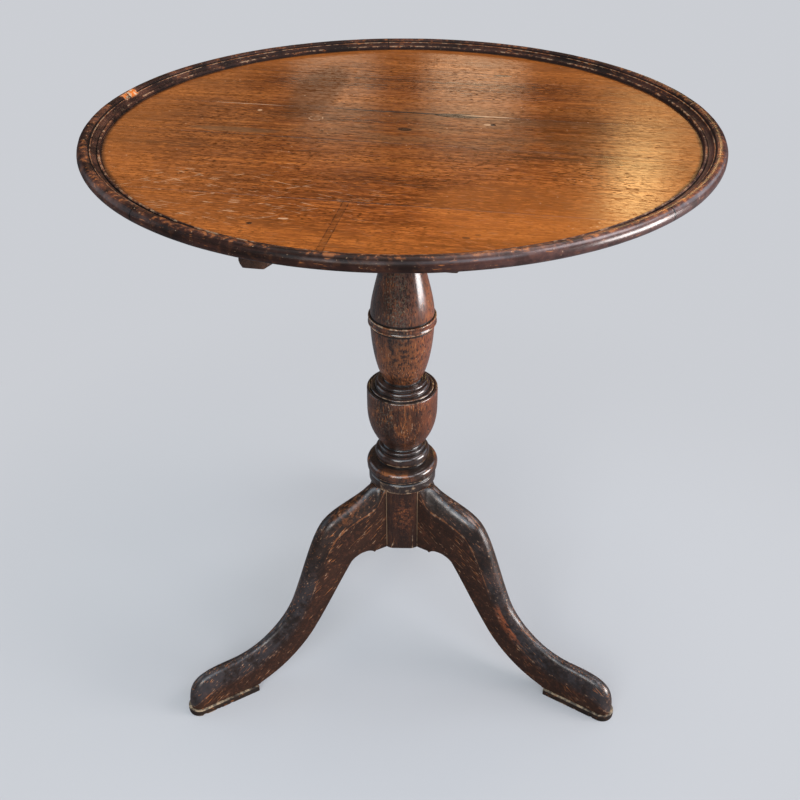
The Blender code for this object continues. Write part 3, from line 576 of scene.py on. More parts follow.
def blackIron(name):
    paint = Paint(name, ironTones)
    patch = paint.noise(paint.place, (90, 90, 90), 5.0, 0.65)
    fine = paint.noise(paint.place, (700, 700, 700), 2.0)
    paint.colour = paint.ramp(patch, (0.35, "dark"), (0.6, "middle"), (0.8, "rust"))
    return paint.done(0.5 + fine * 0.2, patch * 0.5 + fine * 0.4, 0.0003, Metallic=0.85)


boardSet = {
    "fieldRadius": 0.288, "fieldLevel": 0.698, "ledgeRadius": 0.302, "ledgeLevel": 0.6933,
    "lipLevel": 0.6923, "underRadius": 0.278, "underLevel": 0.683,
    "joints": (-0.188, -0.043, 0.048, 0.17), "gap": 0.00006, "ease": 0.00022, "segments": 216,
    # nail holes: place along and across the grain, radius; then the shape of the ball that cuts them
    "holes": ((0.0873, 0.0249, 0.0024), (0.2417, 0.0704, 0.0013), (0.2469, 0.0776, 0.0011),
              (0.2447, -0.0135, 0.0014), (0.2266, 0.0585, 0.0012), (-0.0817, -0.2433, 0.0016)),
    "holeBall": ((1.25, 0.9, 1.3), 16, 10),
}


def discBlank(name):
    s = boardSet
    rings = [(s["ledgeRadius"], s["lipLevel"]), (s["ledgeRadius"], s["ledgeLevel"]),
             (s["fieldRadius"], s["ledgeLevel"]), (s["fieldRadius"], s["fieldLevel"])]
    deselectAll()
    bpy.ops.mesh.primitive_circle_add(vertices=s["segments"], radius=s["underRadius"], fill_type="NGON",
                                      location=(0, 0, s["underLevel"]))
    piece = named(name)
    applyPlace()
    editMode()
    selectAll()
    radius, level = s["underRadius"], s["underLevel"]
    for nextRadius, nextLevel in rings:
        extrude((0, 0, nextLevel - level))
        grow = nextRadius / radius
        bpy.ops.transform.resize(value=(grow, grow, 1.0), center_override=(0, 0, nextLevel))
        radius, level = nextRadius, nextLevel
    selectAll()
    bpy.ops.mesh.normals_make_consistent(inside=False)
    return piece


def makeBoards():
    s = boardSet
    across = (sin(grainTurn), cos(grainTurn), 0.0)
    reach = s["ledgeRadius"] + 0.01
    edges = (-reach, *s["joints"], reach)
    for index, (low, high) in enumerate(zip(edges, edges[1:]), 1):
        piece = discBlank(f"board_{index}")
        for place, clearing in ((low + s["gap"], "clear_inner"), (high - s["gap"], "clear_outer")):
            if abs(place) < s["ledgeRadius"]:
                selectAll()
                bpy.ops.mesh.bisect(plane_co=tuple(place * a for a in across), plane_no=across, use_fill=True,
                                    **{clearing: True})
        bpy.ops.object.mode_set(mode="OBJECT")
        applied(piece, "BEVEL", width=s["ease"], segments=2, limit_method="ANGLE", angle_limit=radians(40))
        for along, aside, radius in s["holes"]:
            if low < aside < high:
                place = (along * cos(grainTurn) + aside * sin(grainTurn),
                         aside * cos(grainTurn) - along * sin(grainTurn), s["fieldLevel"])
                cutAway(piece, ballTool(radius, place, *s["holeBall"]))
        smoothed(piece, 8)
        material = boardOak(f"board_oak_{index}", float(index), (low, high))
        dressed(piece, material, "top", "board_oak", f"top_board_{index}")


makeBoards()
print("boards made")


rimSet = {
    "radius": 0.31, "crest": 0.707, "bottom": 0.6936, "inner": 0.28825, "nose": 0.006,
    "jointTurn": radians(-134.0), "jointGap": 0.0004, "steps": 66, "wearReach": 0.0006,
    # unevenness: pitch and size of each wave, then where it starts and how far it goes
    "sway": ((38.0, 0.00022), (140.0, 0.00008)), "swayFrom": 0.2985, "swayOut": 0.0001, "swayDrop": 0.8,
    # scar: turn, half spread, inner and outer radius; cracks: turn and half width
    "scar": (2.868, 0.046, 0.2965, 0.3055), "scarLevel": 0.7005, "scarDepth": 0.0011,
    "cracks": ((1.644, 0.0012), (-2.339, 0.0022), (-0.768, 0.002)),
    # starts and ends of the zones of its finish
    "litTurn": -0.75, "lit": (0.45, 0.85), "inside": (0.2985, 0.3025), "shelfIn": (0.299, 0.301),
    "shelfOut": (0.3056, 0.3078), "shelfLevel": (0.7035, 0.705), "near": (-0.1, 0.12),
    "left": (-0.27, -0.17),
    "tones": {"warm": (0.085, 0.032, 0.02), "litSheen": (0.098, 0.042, 0.036), "left": (0.12, 0.05, 0.032),
              "worn": (0.5, 0.33, 0.2)},
}


def rimPolish():
    s = rimSet
    paint = DarkPaint("rim_polish", s["tones"], alongLine)
    ease, over, mix = paint.ease, paint.over, paint.mix
    tone, fibre, patch, fine, grit = paint.layers
    x, y, z = paint.split(paint.place)
    radius = (x * x + y * y) ** 0.5
    angle = paint.node("ShaderNodeMath", {"operation": "ARCTAN2"}, {0: y, 1: x})
    figure = tone * 0.5 + fibre * 0.3 + patch * 0.32 - 0.06
    paint.colour = paint.ramp(figure, (0.42, "black"), (0.58, "plum"), (0.78, "warm"))
    # painted sheen: the front right of the rim, where the highlight falls, is laid over with a lilac-brown
    # tone
    lit = 1.0 - ease(abs(angle - s["litTurn"]), *s["lit"])
    litSheen = ease(patch * 0.6 + fine * 0.4, 0.4, 0.56)
    over(lit * (0.3 + litSheen * 0.45), "litSheen")
    inner = 1.0 - ease(radius, *s["inside"])
    shelf = ease(radius, *s["shelfIn"]) * (1.0 - ease(radius, *s["shelfOut"])) * ease(z, *s["shelfLevel"])
    # the rubbed wear on the shelf is stronger at the front; the extra in the lit zone is painted light
    near = (1.0 - ease(y, *s["near"])) * (0.4 + lit * 0.6)
    # painted sheen: a brown sheen laid over the left half of the rim
    over((1.0 - ease(x, *s["left"])) * ease(patch, 0.4, 0.6) * 0.6, "left")
    rubbed = ease(patch * 0.55 + fine * 0.45, 0.49 - near * 0.07, 0.58 - near * 0.02)
    rubbed = rubbed * (shelf * (0.4 + near * 0.6) + 0.07)
    over(rubbed * 0.85, mix(ease(fine, 0.5, 0.64), "red", "orange"))
    fleck = paint.flecks(110, 640, 0.66) * ease(patch, 0.46, 0.56)
    over(fleck * 0.6, "orange")
    over(ease(grit, 0.67, 0.73) * ease(fine, 0.48, 0.58) * 0.5, "pale")
    edge = ease(paint.stored("wear") * inner + (patch - 0.5) * 1.0 + (fine - 0.5) * 0.9, 0.46, 0.64)
    over(edge * inner * 0.52, mix(ease(fine, 0.44, 0.62), "orange", "worn"))
    # darkens the inner corners of the moulding's profile
    darkFill = ease(paint.stored("hollow") + (fine - 0.5) * 0.3, 0.12, 0.45)
    over(darkFill * 0.9, "hollow")
    turn, spread, low, high = s["scar"]
    scar = 1.0 - ease(abs(angle - turn) + (fine - 0.5) * 0.03, spread * 0.8, spread)
    scar = scar * ease(radius, low, low + 0.0012) * (1.0 - ease(radius, high - 0.0012, high))
    over(scar * ease(patch, 0.36, 0.46), mix(ease(fine, 0.44, 0.58), "hot", "pale"))
    for place, wide in s["cracks"]:
        crack = 1.0 - ease(abs(angle - place) + (fine - 0.5) * 0.004, wide, wide + 0.0018)
        over(crack * 0.9, "hollow")
    roughness = 0.29 + fine * 0.14 + darkFill * 0.35 + rubbed * 0.12 + inner * 0.14
    height = fibre * 0.25 + patch * 0.8 + fine * 0.5 - fleck * 0.2 - scar * 0.5
    gloss = 0.04 + ease(patch * 0.6 + tone * 0.4, 0.4, 0.6) * (0.13 + lit * 0.3) + lit * 0.53
    return paint.done(roughness, height, 0.00034, gloss * (1.0 - inner * 0.88),
                      Coat_Roughness=0.27, Coat_IOR=1.75, Specular_IOR_Level=0.09)


def rimOutline():
    s = rimSet
    noseIn = s["radius"] - s["nose"]
    rise = (s["crest"] - s["bottom"]) / 2
    points = [(s["inner"], s["bottom"]), (0.2952, s["bottom"])]
    points += arcPoints((noseIn, s["bottom"] + rise), (s["nose"], rise), -pi / 2, pi / 2, 18)
    points += arcPoints((noseIn, 0.7054), (0.0045, 0.0016), pi / 2, pi, 6)[1:]
    points += [(0.2993, 0.7046), (0.2989, 0.70425), (0.2977, 0.70425), (0.2974, 0.7041)]
    points += arcPoints((0.2922, 0.7042), (0.0051, 0.0038), -0.1, -pi / 2, 9)[1:]
    points += [(0.29195, 0.7001)]
    points += arcPoints((0.2906, 0.7003), (0.0013, 0.0013), 0.0, pi, 9)
    points += [(0.2892, 0.6994), (0.2888, 0.6986), (s["inner"], 0.69835)]
    return thinned(points)


def wornRim(piece):
    s = rimSet
    turn, spread, low, high = s["scar"]
    for vert in piece.data.vertices:
        place = vert.co
        radius = hypot(place.x, place.y)
        off = abs(atan2(place.y, place.x) - turn)
        sway = sum(noise.noise(place * pitch) * size for pitch, size in s["sway"])
        if radius > s["swayFrom"]:
            vert.co = place + Vector((place.x, place.y, 0.0)).normalized() * min(sway, s["swayOut"])
            vert.co.z += min(sway, 0.0) * s["swayDrop"]
        if off < spread and low < radius < high and place.z > s["scarLevel"]:
            bite = s["scarDepth"] * min(1.0, (spread - off) * 60)
            vert.co.z -= bite * (0.7 + 0.6 * noise.noise(place * 300.0))


def makeRim():
    s = rimSet
    outline = rimOutline()
    quarter = pi / 2
    gap = s["jointGap"] / s["radius"]
    material = rimPolish()
    for index, side in enumerate(("front", "right", "back", "left")):
        start = s["jointTurn"] + quarter * index + gap / 2
        piece = spunPiece(f"rim_moulding_{side}", outline, s["steps"], start, quarter - gap, closed=True)
        storeTurning(piece, outline, s["wearReach"])
        wornRim(piece)
        smoothed(piece, 50)
        dressed(piece, material, "top", "rim_oak", f"rim_{side}")


makeRim()
print("rim made")


columnSet = {
    "segments": 144, "foot": 0.1707, "collar": 0.2641, "wearReach": 0.0007,
    # flats of the drum under the legs and between them: turns, distance from the axis, width
    "flats": (((90.0, 210.0, 330.0), 0.0317, 0.08), ((30.0, 150.0, 270.0), 0.0332, 0.05)),
    "flatDepth": 0.02, "flatBelow": 0.0098, "flatShy": 0.0002,
    # zones of its finish: middle across and up with half sizes, or a start and an end
    "belly": ((0.002, 0.448), (0.026, 0.03)), "streak": ((0.0035, 0.445), (0.0008, 0.12)),
    "paintedSheen": ((0.004, 0.52), (0.015, 0.04)), "olive": ((-0.006, 0.515), (0.012, 0.045)),
    "cheek": ((-0.022, 0.372), (0.014, 0.022)), "glow": ((0.002, 0.222), (0.012, 0.024)),
    "urnFoot": (0.318, 0.33), "urnTop": (0.386, 0.393), "paintedLightSide": (0.01, 0.036),
    "paintedLightFrom": (0.312, 0.33), "shadeSide": (-0.024, -0.006), "shadeFrom": (0.484, 0.49),
    "flankSide": (0.0215, 0.029), "flankFrom": (0.489, 0.493), "baseTop": (0.293, 0.2936),
    "ringTop": (0.2888, 0.29), "drumTop": (0.2636, 0.2642), "legSide": 0.019, "frontOnly": (-0.02, -0.01),
    "rings": ((0.265, 0.2815), (0.2925, 0.316), (0.3937, 0.4078)),
    "tones": {
        "deep": (0.02, 0.0095, 0.0062), "brown": (0.088, 0.0335, 0.017), "russet": (0.185, 0.057, 0.023),
        "belly": (0.27, 0.088, 0.026), "urn": (0.045, 0.0165, 0.0088), "paintedLight": (0.3, 0.076, 0.03),
        "rubbed": (0.165, 0.049, 0.02), "shade": (0.022, 0.0125, 0.01), "paintedSheen": (0.15, 0.072, 0.058),
        "flank": (0.44, 0.13, 0.036), "dustAndSheen": (0.125, 0.098, 0.068), "base": (0.03, 0.016, 0.012),
        "rings": (0.02, 0.014, 0.012), "drum": (0.034, 0.014, 0.0088),
    },
}


def columnPolish():
    s = columnSet
    paint = DarkPaint("column_polish", s["tones"], uprightLine)
    ease, over, spot, flecks = paint.ease, paint.over, paint.spot, paint.flecks
    tone, fibre, patch, fine, grit = paint.layers
    x, y, z = paint.split(paint.place)
    figure = tone * 0.48 + fibre * 0.4 + patch * 0.36 - 0.12
    paint.colour = paint.ramp(figure, (0.41, "deep"), (0.49, "brown"), (0.57, "russet"), (0.68, "orange"))
    over(spot(x, z, s["belly"], 0.9) * ease(fine, 0.38, 0.6) * 0.75, "belly")
    urn = ease(z, *s["urnFoot"]) * (1.0 - ease(z, *s["urnTop"]))
    over(urn * 0.6, "urn")
    # painted light: the right side of the column, where the key light falls, gets a lighter orange tone, and
    # the rubbed and hot orange wear below is stronger there
    paintedLight = ease(x + (patch - 0.5) * 0.03, *s["paintedLightSide"]) * ease(z, *s["paintedLightFrom"])
    over(paintedLight * (0.58 - urn * 0.26), "paintedLight")
    over(ease(patch * 0.5 + fine * 0.5, 0.52, 0.62) * (0.4 + paintedLight * 0.6) * 0.6, "rubbed")
    streak = spot(x + (fine - 0.5) * 0.003 + (patch - 0.5) * 0.006, z, s["streak"], 0.6)
    hot = ease(patch * 0.4 + fine * 0.35 + fibre * 0.25, 0.56, 0.62)
    hot = (hot * (0.35 + paintedLight * 0.65)).most(streak * ease(tone, 0.44, 0.52) * 0.7)
    over(hot * 0.7, "orange")
    fleck = flecks(120, 640, 0.615) * ease(patch, 0.4, 0.54)
    over(fleck * 0.62, "orange")
    shade = (1.0 - ease(x + (patch - 0.5) * 0.012, *s["shadeSide"])) * ease(z, *s["shadeFrom"])
    over(shade * 0.62, "shade")
    # painted sheen: a lilac-brown sheen on the middle of the vase
    over(spot(x, z, s["paintedSheen"], 0.9) * ease(fine, 0.36, 0.58) * 0.42, "paintedSheen")
    # painted light: an orange band down the lit right flank of the vase
    flank = ease(x, *s["flankSide"]) * ease(z, *s["flankFrom"]) * ease(fine, 0.38, 0.56)
    over(flank * 0.6, "flank")
    # pale dust speckle, thickest on the middle of the vase, where it also paints a grey sheen, and on the
    # urn's left cheek
    olive, cheek = spot(x, z, s["olive"], 0.8), spot(x, z, s["cheek"], 0.8)
    over(ease(grit, 0.52, 0.61) * (olive * 0.85 + cheek * 0.45 + ease(fine, 0.46, 0.56) * 0.25), "dustAndSheen")
    pit = flecks(190, 620, 0.595, 5.0)
    over(pit * 0.78, "black")
    over(flecks(170, 700, 0.67, 11.0) * ease(patch, 0.48, 0.58) * 0.45, "pale")
    base = 1.0 - ease(z, *s["baseTop"])
    over(base * 0.55, "base")
    over(ease(z, *s["ringTop"]) * base * ease(patch + (fine - 0.5) * 0.6, 0.5, 0.58) * 0.6, "orange")
    rings = paint.anyOf([ease(z, low - 0.0006, low + 0.0006) - ease(z, high - 0.0006, high + 0.0006)
                         for low, high in s["rings"]])
    over(rings * 0.8, "rings")
    # painted shade: the drum between the legs is darkened
    drum = 1.0 - ease(z, *s["drumTop"])
    glow = spot(x, z, s["glow"], 0.9) * ease(fine, 0.44, 0.6)
    over(drum * 0.6, "drum")
    over(drum * glow * 0.55, "red")
    over(drum * glow * ease(grit, 0.55, 0.64) * 0.7, "orange")
    joint = 1.0 - ease(abs(abs(x) - s["legSide"]) + (fine - 0.5) * 0.0006, 0.0003, 0.0008)
    joint = joint * drum * (1.0 - ease(y, *s["frontOnly"])) * ease(patch, 0.36, 0.5)
    over(joint * 0.55, "pale")
    edge = ease(paint.stored("wear") + (patch - 0.5) * 0.7 + (fine - 0.5) * 0.5, 0.44, 0.62)
    over(edge * 0.75, paint.mix(ease(fine, 0.42, 0.58), "orange", "pale"))
    # darkens the inner corners of the turned profile
    darkFill = ease(paint.stored("hollow") + (fine - 0.5) * 0.3, 0.1, 0.36)
    over(darkFill * 0.92, "hollow")
    roughness = 0.3 + fine * 0.14 + darkFill * 0.3 + hot * 0.08 - rings * 0.06
    height = fibre * 0.3 + patch * 0.7 + fine * 0.6 + grit * 0.25 - pit * 0.5 - fleck * 0.2
    return paint.done(roughness, height, 0.00052, 0.86 - urn * 0.36 - drum * 0.4,
                      Coat_Roughness=0.18, Coat_IOR=1.7, Specular_IOR_Level=0.2)


# radius and height in millimetres, from the foot up
def columnOutline():
    p = [(0.0, 170.7), (35.0, 170.7), (35.8, 171.0), (36.1, 171.8), (36.1, 173.5), (36.1, 259.0)]
    p += [(36.1, 263.0), (36.1, 264.1)]
    p += [(40.2, 264.1), (40.55, 264.4), (40.6, 264.9), (40.6, 274.6), (40.4, 275.2), (39.9, 275.6)]
    p += [(39.3, 276.2), (39.0, 277.2), (39.2, 278.4), (40.2, 279.3), (41.3, 279.9)]
    p += [(42.0, 280.5), (42.4, 281.3)]
    p += arcPoints((37.0, 286.2), (5.8, 6.9), -0.55, pi / 2, 14)
    p += [(33.5, 293.2), (31.2, 293.4), (29.9, 294.1), (29.6, 295.6), (30.0, 297.2), (30.9, 297.9)]
    p += [(32.0, 298.2), (32.5, 298.7)]
    p += arcPoints((27.0, 303.6), (5.6, 6.0), -0.12, pi / 2 - 0.2, 12)
    p += [(27.1, 309.7), (26.6, 310.0)]
    p += arcPoints((25.5, 312.2), (2.4, 2.3), -1.0, pi / 2, 10)
    p += [(24.2, 314.7), (23.3, 315.2), (23.0, 316.0)]
    p += curvePoints((23.0, 316.0), ((0.59, 0.24), (1.0, 0.56)), (41.2, 367.3), 22)
    p += [(41.25, 380.0), (41.2, 392.6), (41.05, 393.6), (40.5, 394.4), (39.6, 394.7), (38.1, 394.6)]
    p += [(37.5, 394.1), (37.1, 393.7), (36.9, 394.1), (36.85, 395.4), (36.5, 396.2), (35.6, 396.6)]
    p += [(33.0, 396.7), (32.2, 396.4), (31.9, 397.0)]
    p += arcPoints((28.4, 397.3), (3.5, 4.5), 0.1, pi / 2, 8)
    p += [(27.6, 401.5), (27.3, 401.9)]
    p += arcPoints((26.7, 403.9), (2.2, 2.2), -0.95, pi / 2, 9)
    p += [(24.0, 406.2), (22.2, 406.5), (21.7, 407.1)]
    p += curvePoints((21.7, 407.1), ((0.48, 0.15), (0.94, 0.53)), (35.9, 479.6), 26)
    p += [(35.6, 480.0), (36.6, 480.1), (37.9, 480.4), (38.35, 481.0), (38.35, 481.9), (37.9, 482.5)]
    p += [(37.55, 483.3), (37.45, 485.0), (37.5, 486.8), (37.85, 487.6), (38.15, 488.3), (38.05, 489.2)]
    p += [(37.4, 489.8), (36.3, 490.0), (35.7, 489.8)]
    p += curvePoints((35.75, 490.3), ((0.0, 0.24), (0.65, 0.55)), (18.5, 580.1), 30)
    p += arcPoints((19.0, 586.1), (5.0, 5.0), -pi / 2, pi / 2, 10)
    p += [(19.5, 592.1)]
    p += curvePoints((19.5, 592.1), ((-0.1, 0.55), (0.3, 0.91)), (29.0, 642.1), 14)
    p += [(29.7, 642.4), (30.0, 643.1), (30.0, 657.7), (29.7, 658.4)]
    p += [(16.0, 658.4), (16.0, 682.2), (0.0, 682.2)]
    return thinned([(r / 1000, z / 1000) for r, z in p])


def makeColumn():
    s = columnSet
    outline = columnOutline()
    piece = spunPiece("turned_column", outline, s["segments"])
    depth, tall = s["flatDepth"], s["collar"] - s["foot"] + s["flatBelow"]
    for turns, flat, width in s["flats"]:
        for way in map(radians, turns):
            middle = flat + depth / 2
            place = (middle * cos(way), middle * sin(way), s["collar"] - s["flatShy"] - tall / 2)
            cutAway(piece, cubeTool((depth, width, tall), place, way))
    storeTurning(piece, outline, s["wearReach"])
    smoothed(piece, 50)
    dressed(piece, columnPolish(), "base", "dark_oak", "column")


makeColumn()
print("column made")


legSet = {
    "turns": {"back": 90.0, "front_left": 210.0, "front_right": 330.0},
    "root": 0.032, "rootEnd": 0.0465, "collarEdge": 0.0409, "underCollar": 0.2635, "columnFoot": 0.1707,
    "halfWidth": 0.0166, "ankleHalf": 0.0094, "toeHalf": 0.012, "toeTip": 0.0016,
    "taperReach": 0.06, "ankleReach": 0.205, "toeReach": 0.303, "footLevel": 0.0098,
    # the crown leans in from the arris at the root and rounds over fully from the knee down
    "rootHandles": ((0.38, 0.45), (0.55, 1.0)), "shinHandles": ((0.1, 0.68), (0.32, 1.0)),
    "handleReach": (0.045, 0.09), "crownSteps": 11, "rootCrown": (0.03, 0.24), "shinCrown": (0.27, 0.23),
    "sideShares": (0.0, 0.22, 0.44, 0.66, 0.82, 0.91), "easing": (0.2, 0.5, 0.8), "arrisReach": 0.001,
    "grain": (0.796, -0.605),      # run of the plank's grain, outward and up
    # zones of its finish: middle across and up with half sizes, or a start and an end
    "knee": ((-0.068, 0.243), (0.022, 0.016)), "kneeFront": (-0.02, 0.0), "kneeUp": (0.165, 0.205),
    "shin": ((0.124, 0.09), (0.028, 0.028)), "shinFront": (-0.02, 0.02), "shinEdge": (-0.0176, -0.0158),
    "ridge": (0.003, 0.009), "foot": (0.125, 0.19), "rightSide": (-0.03, 0.03),
    "tones": {
        "sideDark": (0.028, 0.0125, 0.0078), "side": (0.048, 0.0205, 0.012),
        "sideWarm": (0.088, 0.031, 0.015), "topDark": (0.013, 0.0098, 0.0084),
        "top": (0.028, 0.0165, 0.0118), "topWarm": (0.074, 0.029, 0.0145),
        "knee": (0.2, 0.066, 0.02), "paintedSheen": (0.046, 0.0445, 0.05), "shin": (0.38, 0.098, 0.03),
    },
}


def legPolish():
    s = legSet
    paint = DarkPaint("leg_polish", s["tones"], plankLine)
    ease, over, flecks = paint.ease, paint.over, paint.flecks
    tone, fibre, patch, fine, grit = paint.layers
    x, y, z = paint.split(paint.place)
    crown, arris, girth = paint.stored("crown"), paint.stored("arris"), paint.stored("girth")
    ridge = (1.0 - ease(abs(girth) + (patch - 0.5) * 0.008, *s["ridge"])) * crown
    right = ease(x, *s["rightSide"])
    figure = tone * 0.45 + fibre * 0.25 + patch * 0.4 - 0.05
    side = paint.ramp(figure, (0.42, "sideDark"), (0.58, "side"), (0.78, "sideWarm"))
    top = paint.ramp(figure, (0.4, "topDark"), (0.56, "top"), (0.76, "topWarm"))
    paint.colour = paint.mix(crown * 0.9, side, top)
    over(ease(patch * 0.6 + fine * 0.4, 0.56, 0.64) * (0.4 - crown * 0.22), "red")
    over(ease(grit * 0.45 + fine * 0.55, 0.5, 0.6) * (0.22 - crown * 0.1), "red")
    knee = paint.spot(x, z, s["knee"], 0.8) * (1.0 - ease(y, *s["kneeFront"])) * crown
    over(knee * ease(fine, 0.4, 0.58) * 0.55, "knee")
    # painted sheen: a blue-grey sheen on the crown of the shin and foot, weaker on the right
    paintedSheen = crown * (1.0 - ease(z, *s["foot"])) * ease(patch * 0.6 + fine * 0.4, 0.38, 0.54)
    over(paintedSheen * (0.52 - right * 0.14), "paintedSheen")
    fleck = flecks(54, 820, 0.66) * ease(patch, 0.44, 0.56)
    fleck = fleck.most(flecks(130, 700, 0.69, 9.0) * ease(fine, 0.46, 0.58) * 0.8)
    fleck = fleck.most(flecks(26, 640, 0.63, 4.0) * ridge * 0.5)
    over(fleck * 0.8, paint.mix(ease(fine, 0.5, 0.66), "orange", "pale"))
    over(ease(grit, 0.68, 0.74) * ease(fine, 0.48, 0.58) * 0.4, "grey")
    shin = paint.spot(x, z, s["shin"], 0.7) * (1.0 - ease(y, *s["shinFront"])) * crown
    shin = shin * (1.0 - ease(girth + (patch - 0.5) * 0.007, *s["shinEdge"]))
    shin = shin * ease(tone * 0.3 + fibre * 0.3 + fine * 0.4, 0.46, 0.53)
    over(shin * 0.8, "shin")
    high = ease(z, *s["kneeUp"])
    edge = ease(arris + (patch - 0.5) * 1.8 + (fine - 0.5) * 1.2 + high * 0.16, 0.84, 1.04)
    over(edge * 0.36, paint.mix(ease(fine, 0.52, 0.68), "orange", "pale"))
    roughness = 0.5 - crown * 0.2 + fine * 0.14 + edge * 0.1
    height = fibre * 0.3 + patch * 0.8 + fine * 0.7 + grit * 0.2 - fleck * 0.3 - edge * 0.2
    gloss = (0.24 + ease(patch * 0.7 + fine * 0.3, 0.42, 0.6) * 0.7) * (0.72 + right * 0.28)
    gloss = crown * gloss * (1.0 - ridge * 0.4) * (1.0 - fleck * 0.6)
    return paint.done(roughness, height, 0.0005, gloss,
                      Coat_Roughness=0.25, Coat_IOR=1.7, Specular_IOR_Level=0.3)


def legHalfWidth(reach):
    s = legSet
    if reach < s["ankleReach"]:
        share = max(reach - s["taperReach"], 0.0) / (s["ankleReach"] - s["taperReach"])
        return s["halfWidth"] + (s["ankleHalf"] - s["halfWidth"]) * share
    eye = s["toeReach"] - s["toeHalf"]
    if reach < eye:
        widening = (s["toeHalf"] - s["ankleHalf"]) * (reach - s["ankleReach"])
        return s["ankleHalf"] + widening / (eye - s["ankleReach"])
    return max(sqrt(max(s["toeHalf"] ** 2 - (reach - eye) ** 2, 0.0)), s["toeTip"])


def crownShare(reach):
    s = legSet
    if reach < s["rootEnd"]:
        share = (reach - s["root"]) / (s["rootEnd"] - s["root"])
        start, gain = s["rootCrown"]
        return start + gain * share * share * (3 - 2 * share)
    share = min(max(reach - s["taperReach"], 0.0) / (s["ankleReach"] - s["taperReach"]), 1.0)
    start, gain = s["shinCrown"]
    return start + gain * share


def legOutlines():
    s = legSet
    top, low, sole = s["underCollar"], s["columnFoot"], s["footLevel"]
    flat = ((0.33, 0.33), (0.67, 0.67))
    upper = [(s["root"], top)]
    for shares, end, steps in (
            (flat, (s["collarEdge"], top), 4), (((0.3, 0.05), (0.7, 0.6)), (0.051, top - 0.0054), 4),
            (((0.33, 0.35), (0.75, 0.56)), (0.108, 0.229), 14),
            (((0.38, 0.17), (0.6, 0.6)), (0.155, 0.1215), 18),
            (((0.15, 0.47), (0.57, 0.94)), (0.24, 0.0603), 18), (flat, (0.244, 0.06), 3),
            (((0.61, 0.04), (1.0, 0.13)), (0.3027, 0.013), 20)):
        upper += curvePoints(upper[-1], shares, end, steps)
    cusp, arch = (0.049, low - 0.0016), (0.0805, low - 0.0039)
    hands = [((h[0] - cusp[0]) / (arch[0] - cusp[0]), (h[1] - cusp[1]) / (arch[1] - cusp[1]))
             for h in ((0.054, low + 0.0068), (0.0701, low + 0.0068))]
    lower = [(s["root"], low)]
    for shares, end, steps in (
            (flat, (s["rootEnd"], low), 4), (((0.3, 0.15), (0.6, 0.9)), cusp, 4), (hands, arch, 14),
            (((0.3, 0.28), (0.69, 0.72)), (0.132, 0.0795), 18),
            (((0.22, 0.43), (0.62, 0.85)), (0.2125, 0.0112), 18),
            (flat, (0.214, sole), 3), (flat, (0.302, sole), 20)):
        lower += curvePoints(lower[-1], shares, end, steps)
    return upper, lower


def crownCurve(reach):
    s = legSet
    low, high = s["handleReach"]
    share = min(max((reach - low) / (high - low), 0.0), 1.0)
    share = share * share * (3 - 2 * share)
    start, end = (1.0, 0.0), (0.0, 1.0)
    hands = [(a[0] + (b[0] - a[0]) * share, a[1] + (b[1] - a[1]) * share)
             for a, b in zip(s["rootHandles"], s["shinHandles"])]
    return [start] + curvePoints(start, hands, end, s["crownSteps"])


def legSection(upper, lower):
    middle = (upper[0] + lower[0]) / 2
    share = crownShare(middle)
    flank = [(x, 1 - share + share * rise) for x, rise in crownCurve(middle)]
    half = [(1.0, (1 - share) * k) for k in legSet["sideShares"]]
    corners = tuple(zip(half[-1], flank[0], flank[2]))      # the arris is eased between these
    half += [tuple((1 - t) ** 2 * a + 2 * t * (1 - t) * b + t * t * c for a, b, c in corners)
             for t in legSet["easing"]]
    half += flank[2:]
    around = [(-x, depth) for x, depth in half] + half[-2::-1]
    points = []
    for side, depth in around:
        reach = lower[0] + depth * (upper[0] - lower[0])
        points.append((reach, side * legHalfWidth(reach), lower[1] + depth * (upper[1] - lower[1])))
    return points


# what the finish needs to know at each vertex, stored before the leg is turned into place
def storeLeg(piece, sections, turn):
    girths = []
    for section in sections:
        steps = [0.0] + [float(np.linalg.norm(np.subtract(b, a))) for a, b in zip(section, section[1:])]
        lengths = np.cumsum(steps)
        girths.append(lengths - lengths[len(section) // 2])
    flatPoints = np.array([p for section in sections for p in section])
    ringCount = len(sections[0])
    first = len(legSet["sideShares"])
    arrises = (first + 1, ringCount - 2 - first)
    out, up = legSet["grain"]
    values = {name: [] for name in ("along", "across", "offside", "girth", "crown", "arris")}
    for vert in piece.data.vertices:
        x, y, z = vert.co
        nearest = int(np.argmin(((flatPoints - np.array(vert.co)) ** 2).sum(axis=1)))
        station, ring = divmod(nearest, ringCount)
        edges = flatPoints[[station * ringCount + k for k in arrises]]
        edge = ((edges - flatPoints[nearest]) ** 2).sum(axis=1).min()
        inward = min(ring, ringCount - 1 - ring) - first + 1
        values["along"].append(x * out + z * up + turn)
        values["across"].append(z * out - x * up)
        values["offside"].append(y)
        values["girth"].append(girths[station][ring])
        values["crown"].append(min(max(inward / (len(legSet["easing"]) + 1), 0.0), 1.0))
        values["arris"].append(float(np.exp(-edge / legSet["arrisReach"] ** 2)))
    for name, column in values.items():
        storeValues(piece, name, column)


def makeLeg(side, turn, material):
    sections = [legSection(above, below) for above, below in zip(*legOutlines())]
    piece = loftPiece(f"cabriole_leg_{side}", sections)
    storeLeg(piece, sections, turn)
    piece.data.transform(Matrix.Rotation(radians(turn), 4, "Z"))
    smoothed(piece, 45)
    dressed(piece, material, "base", "dark_oak", f"leg_{side}")


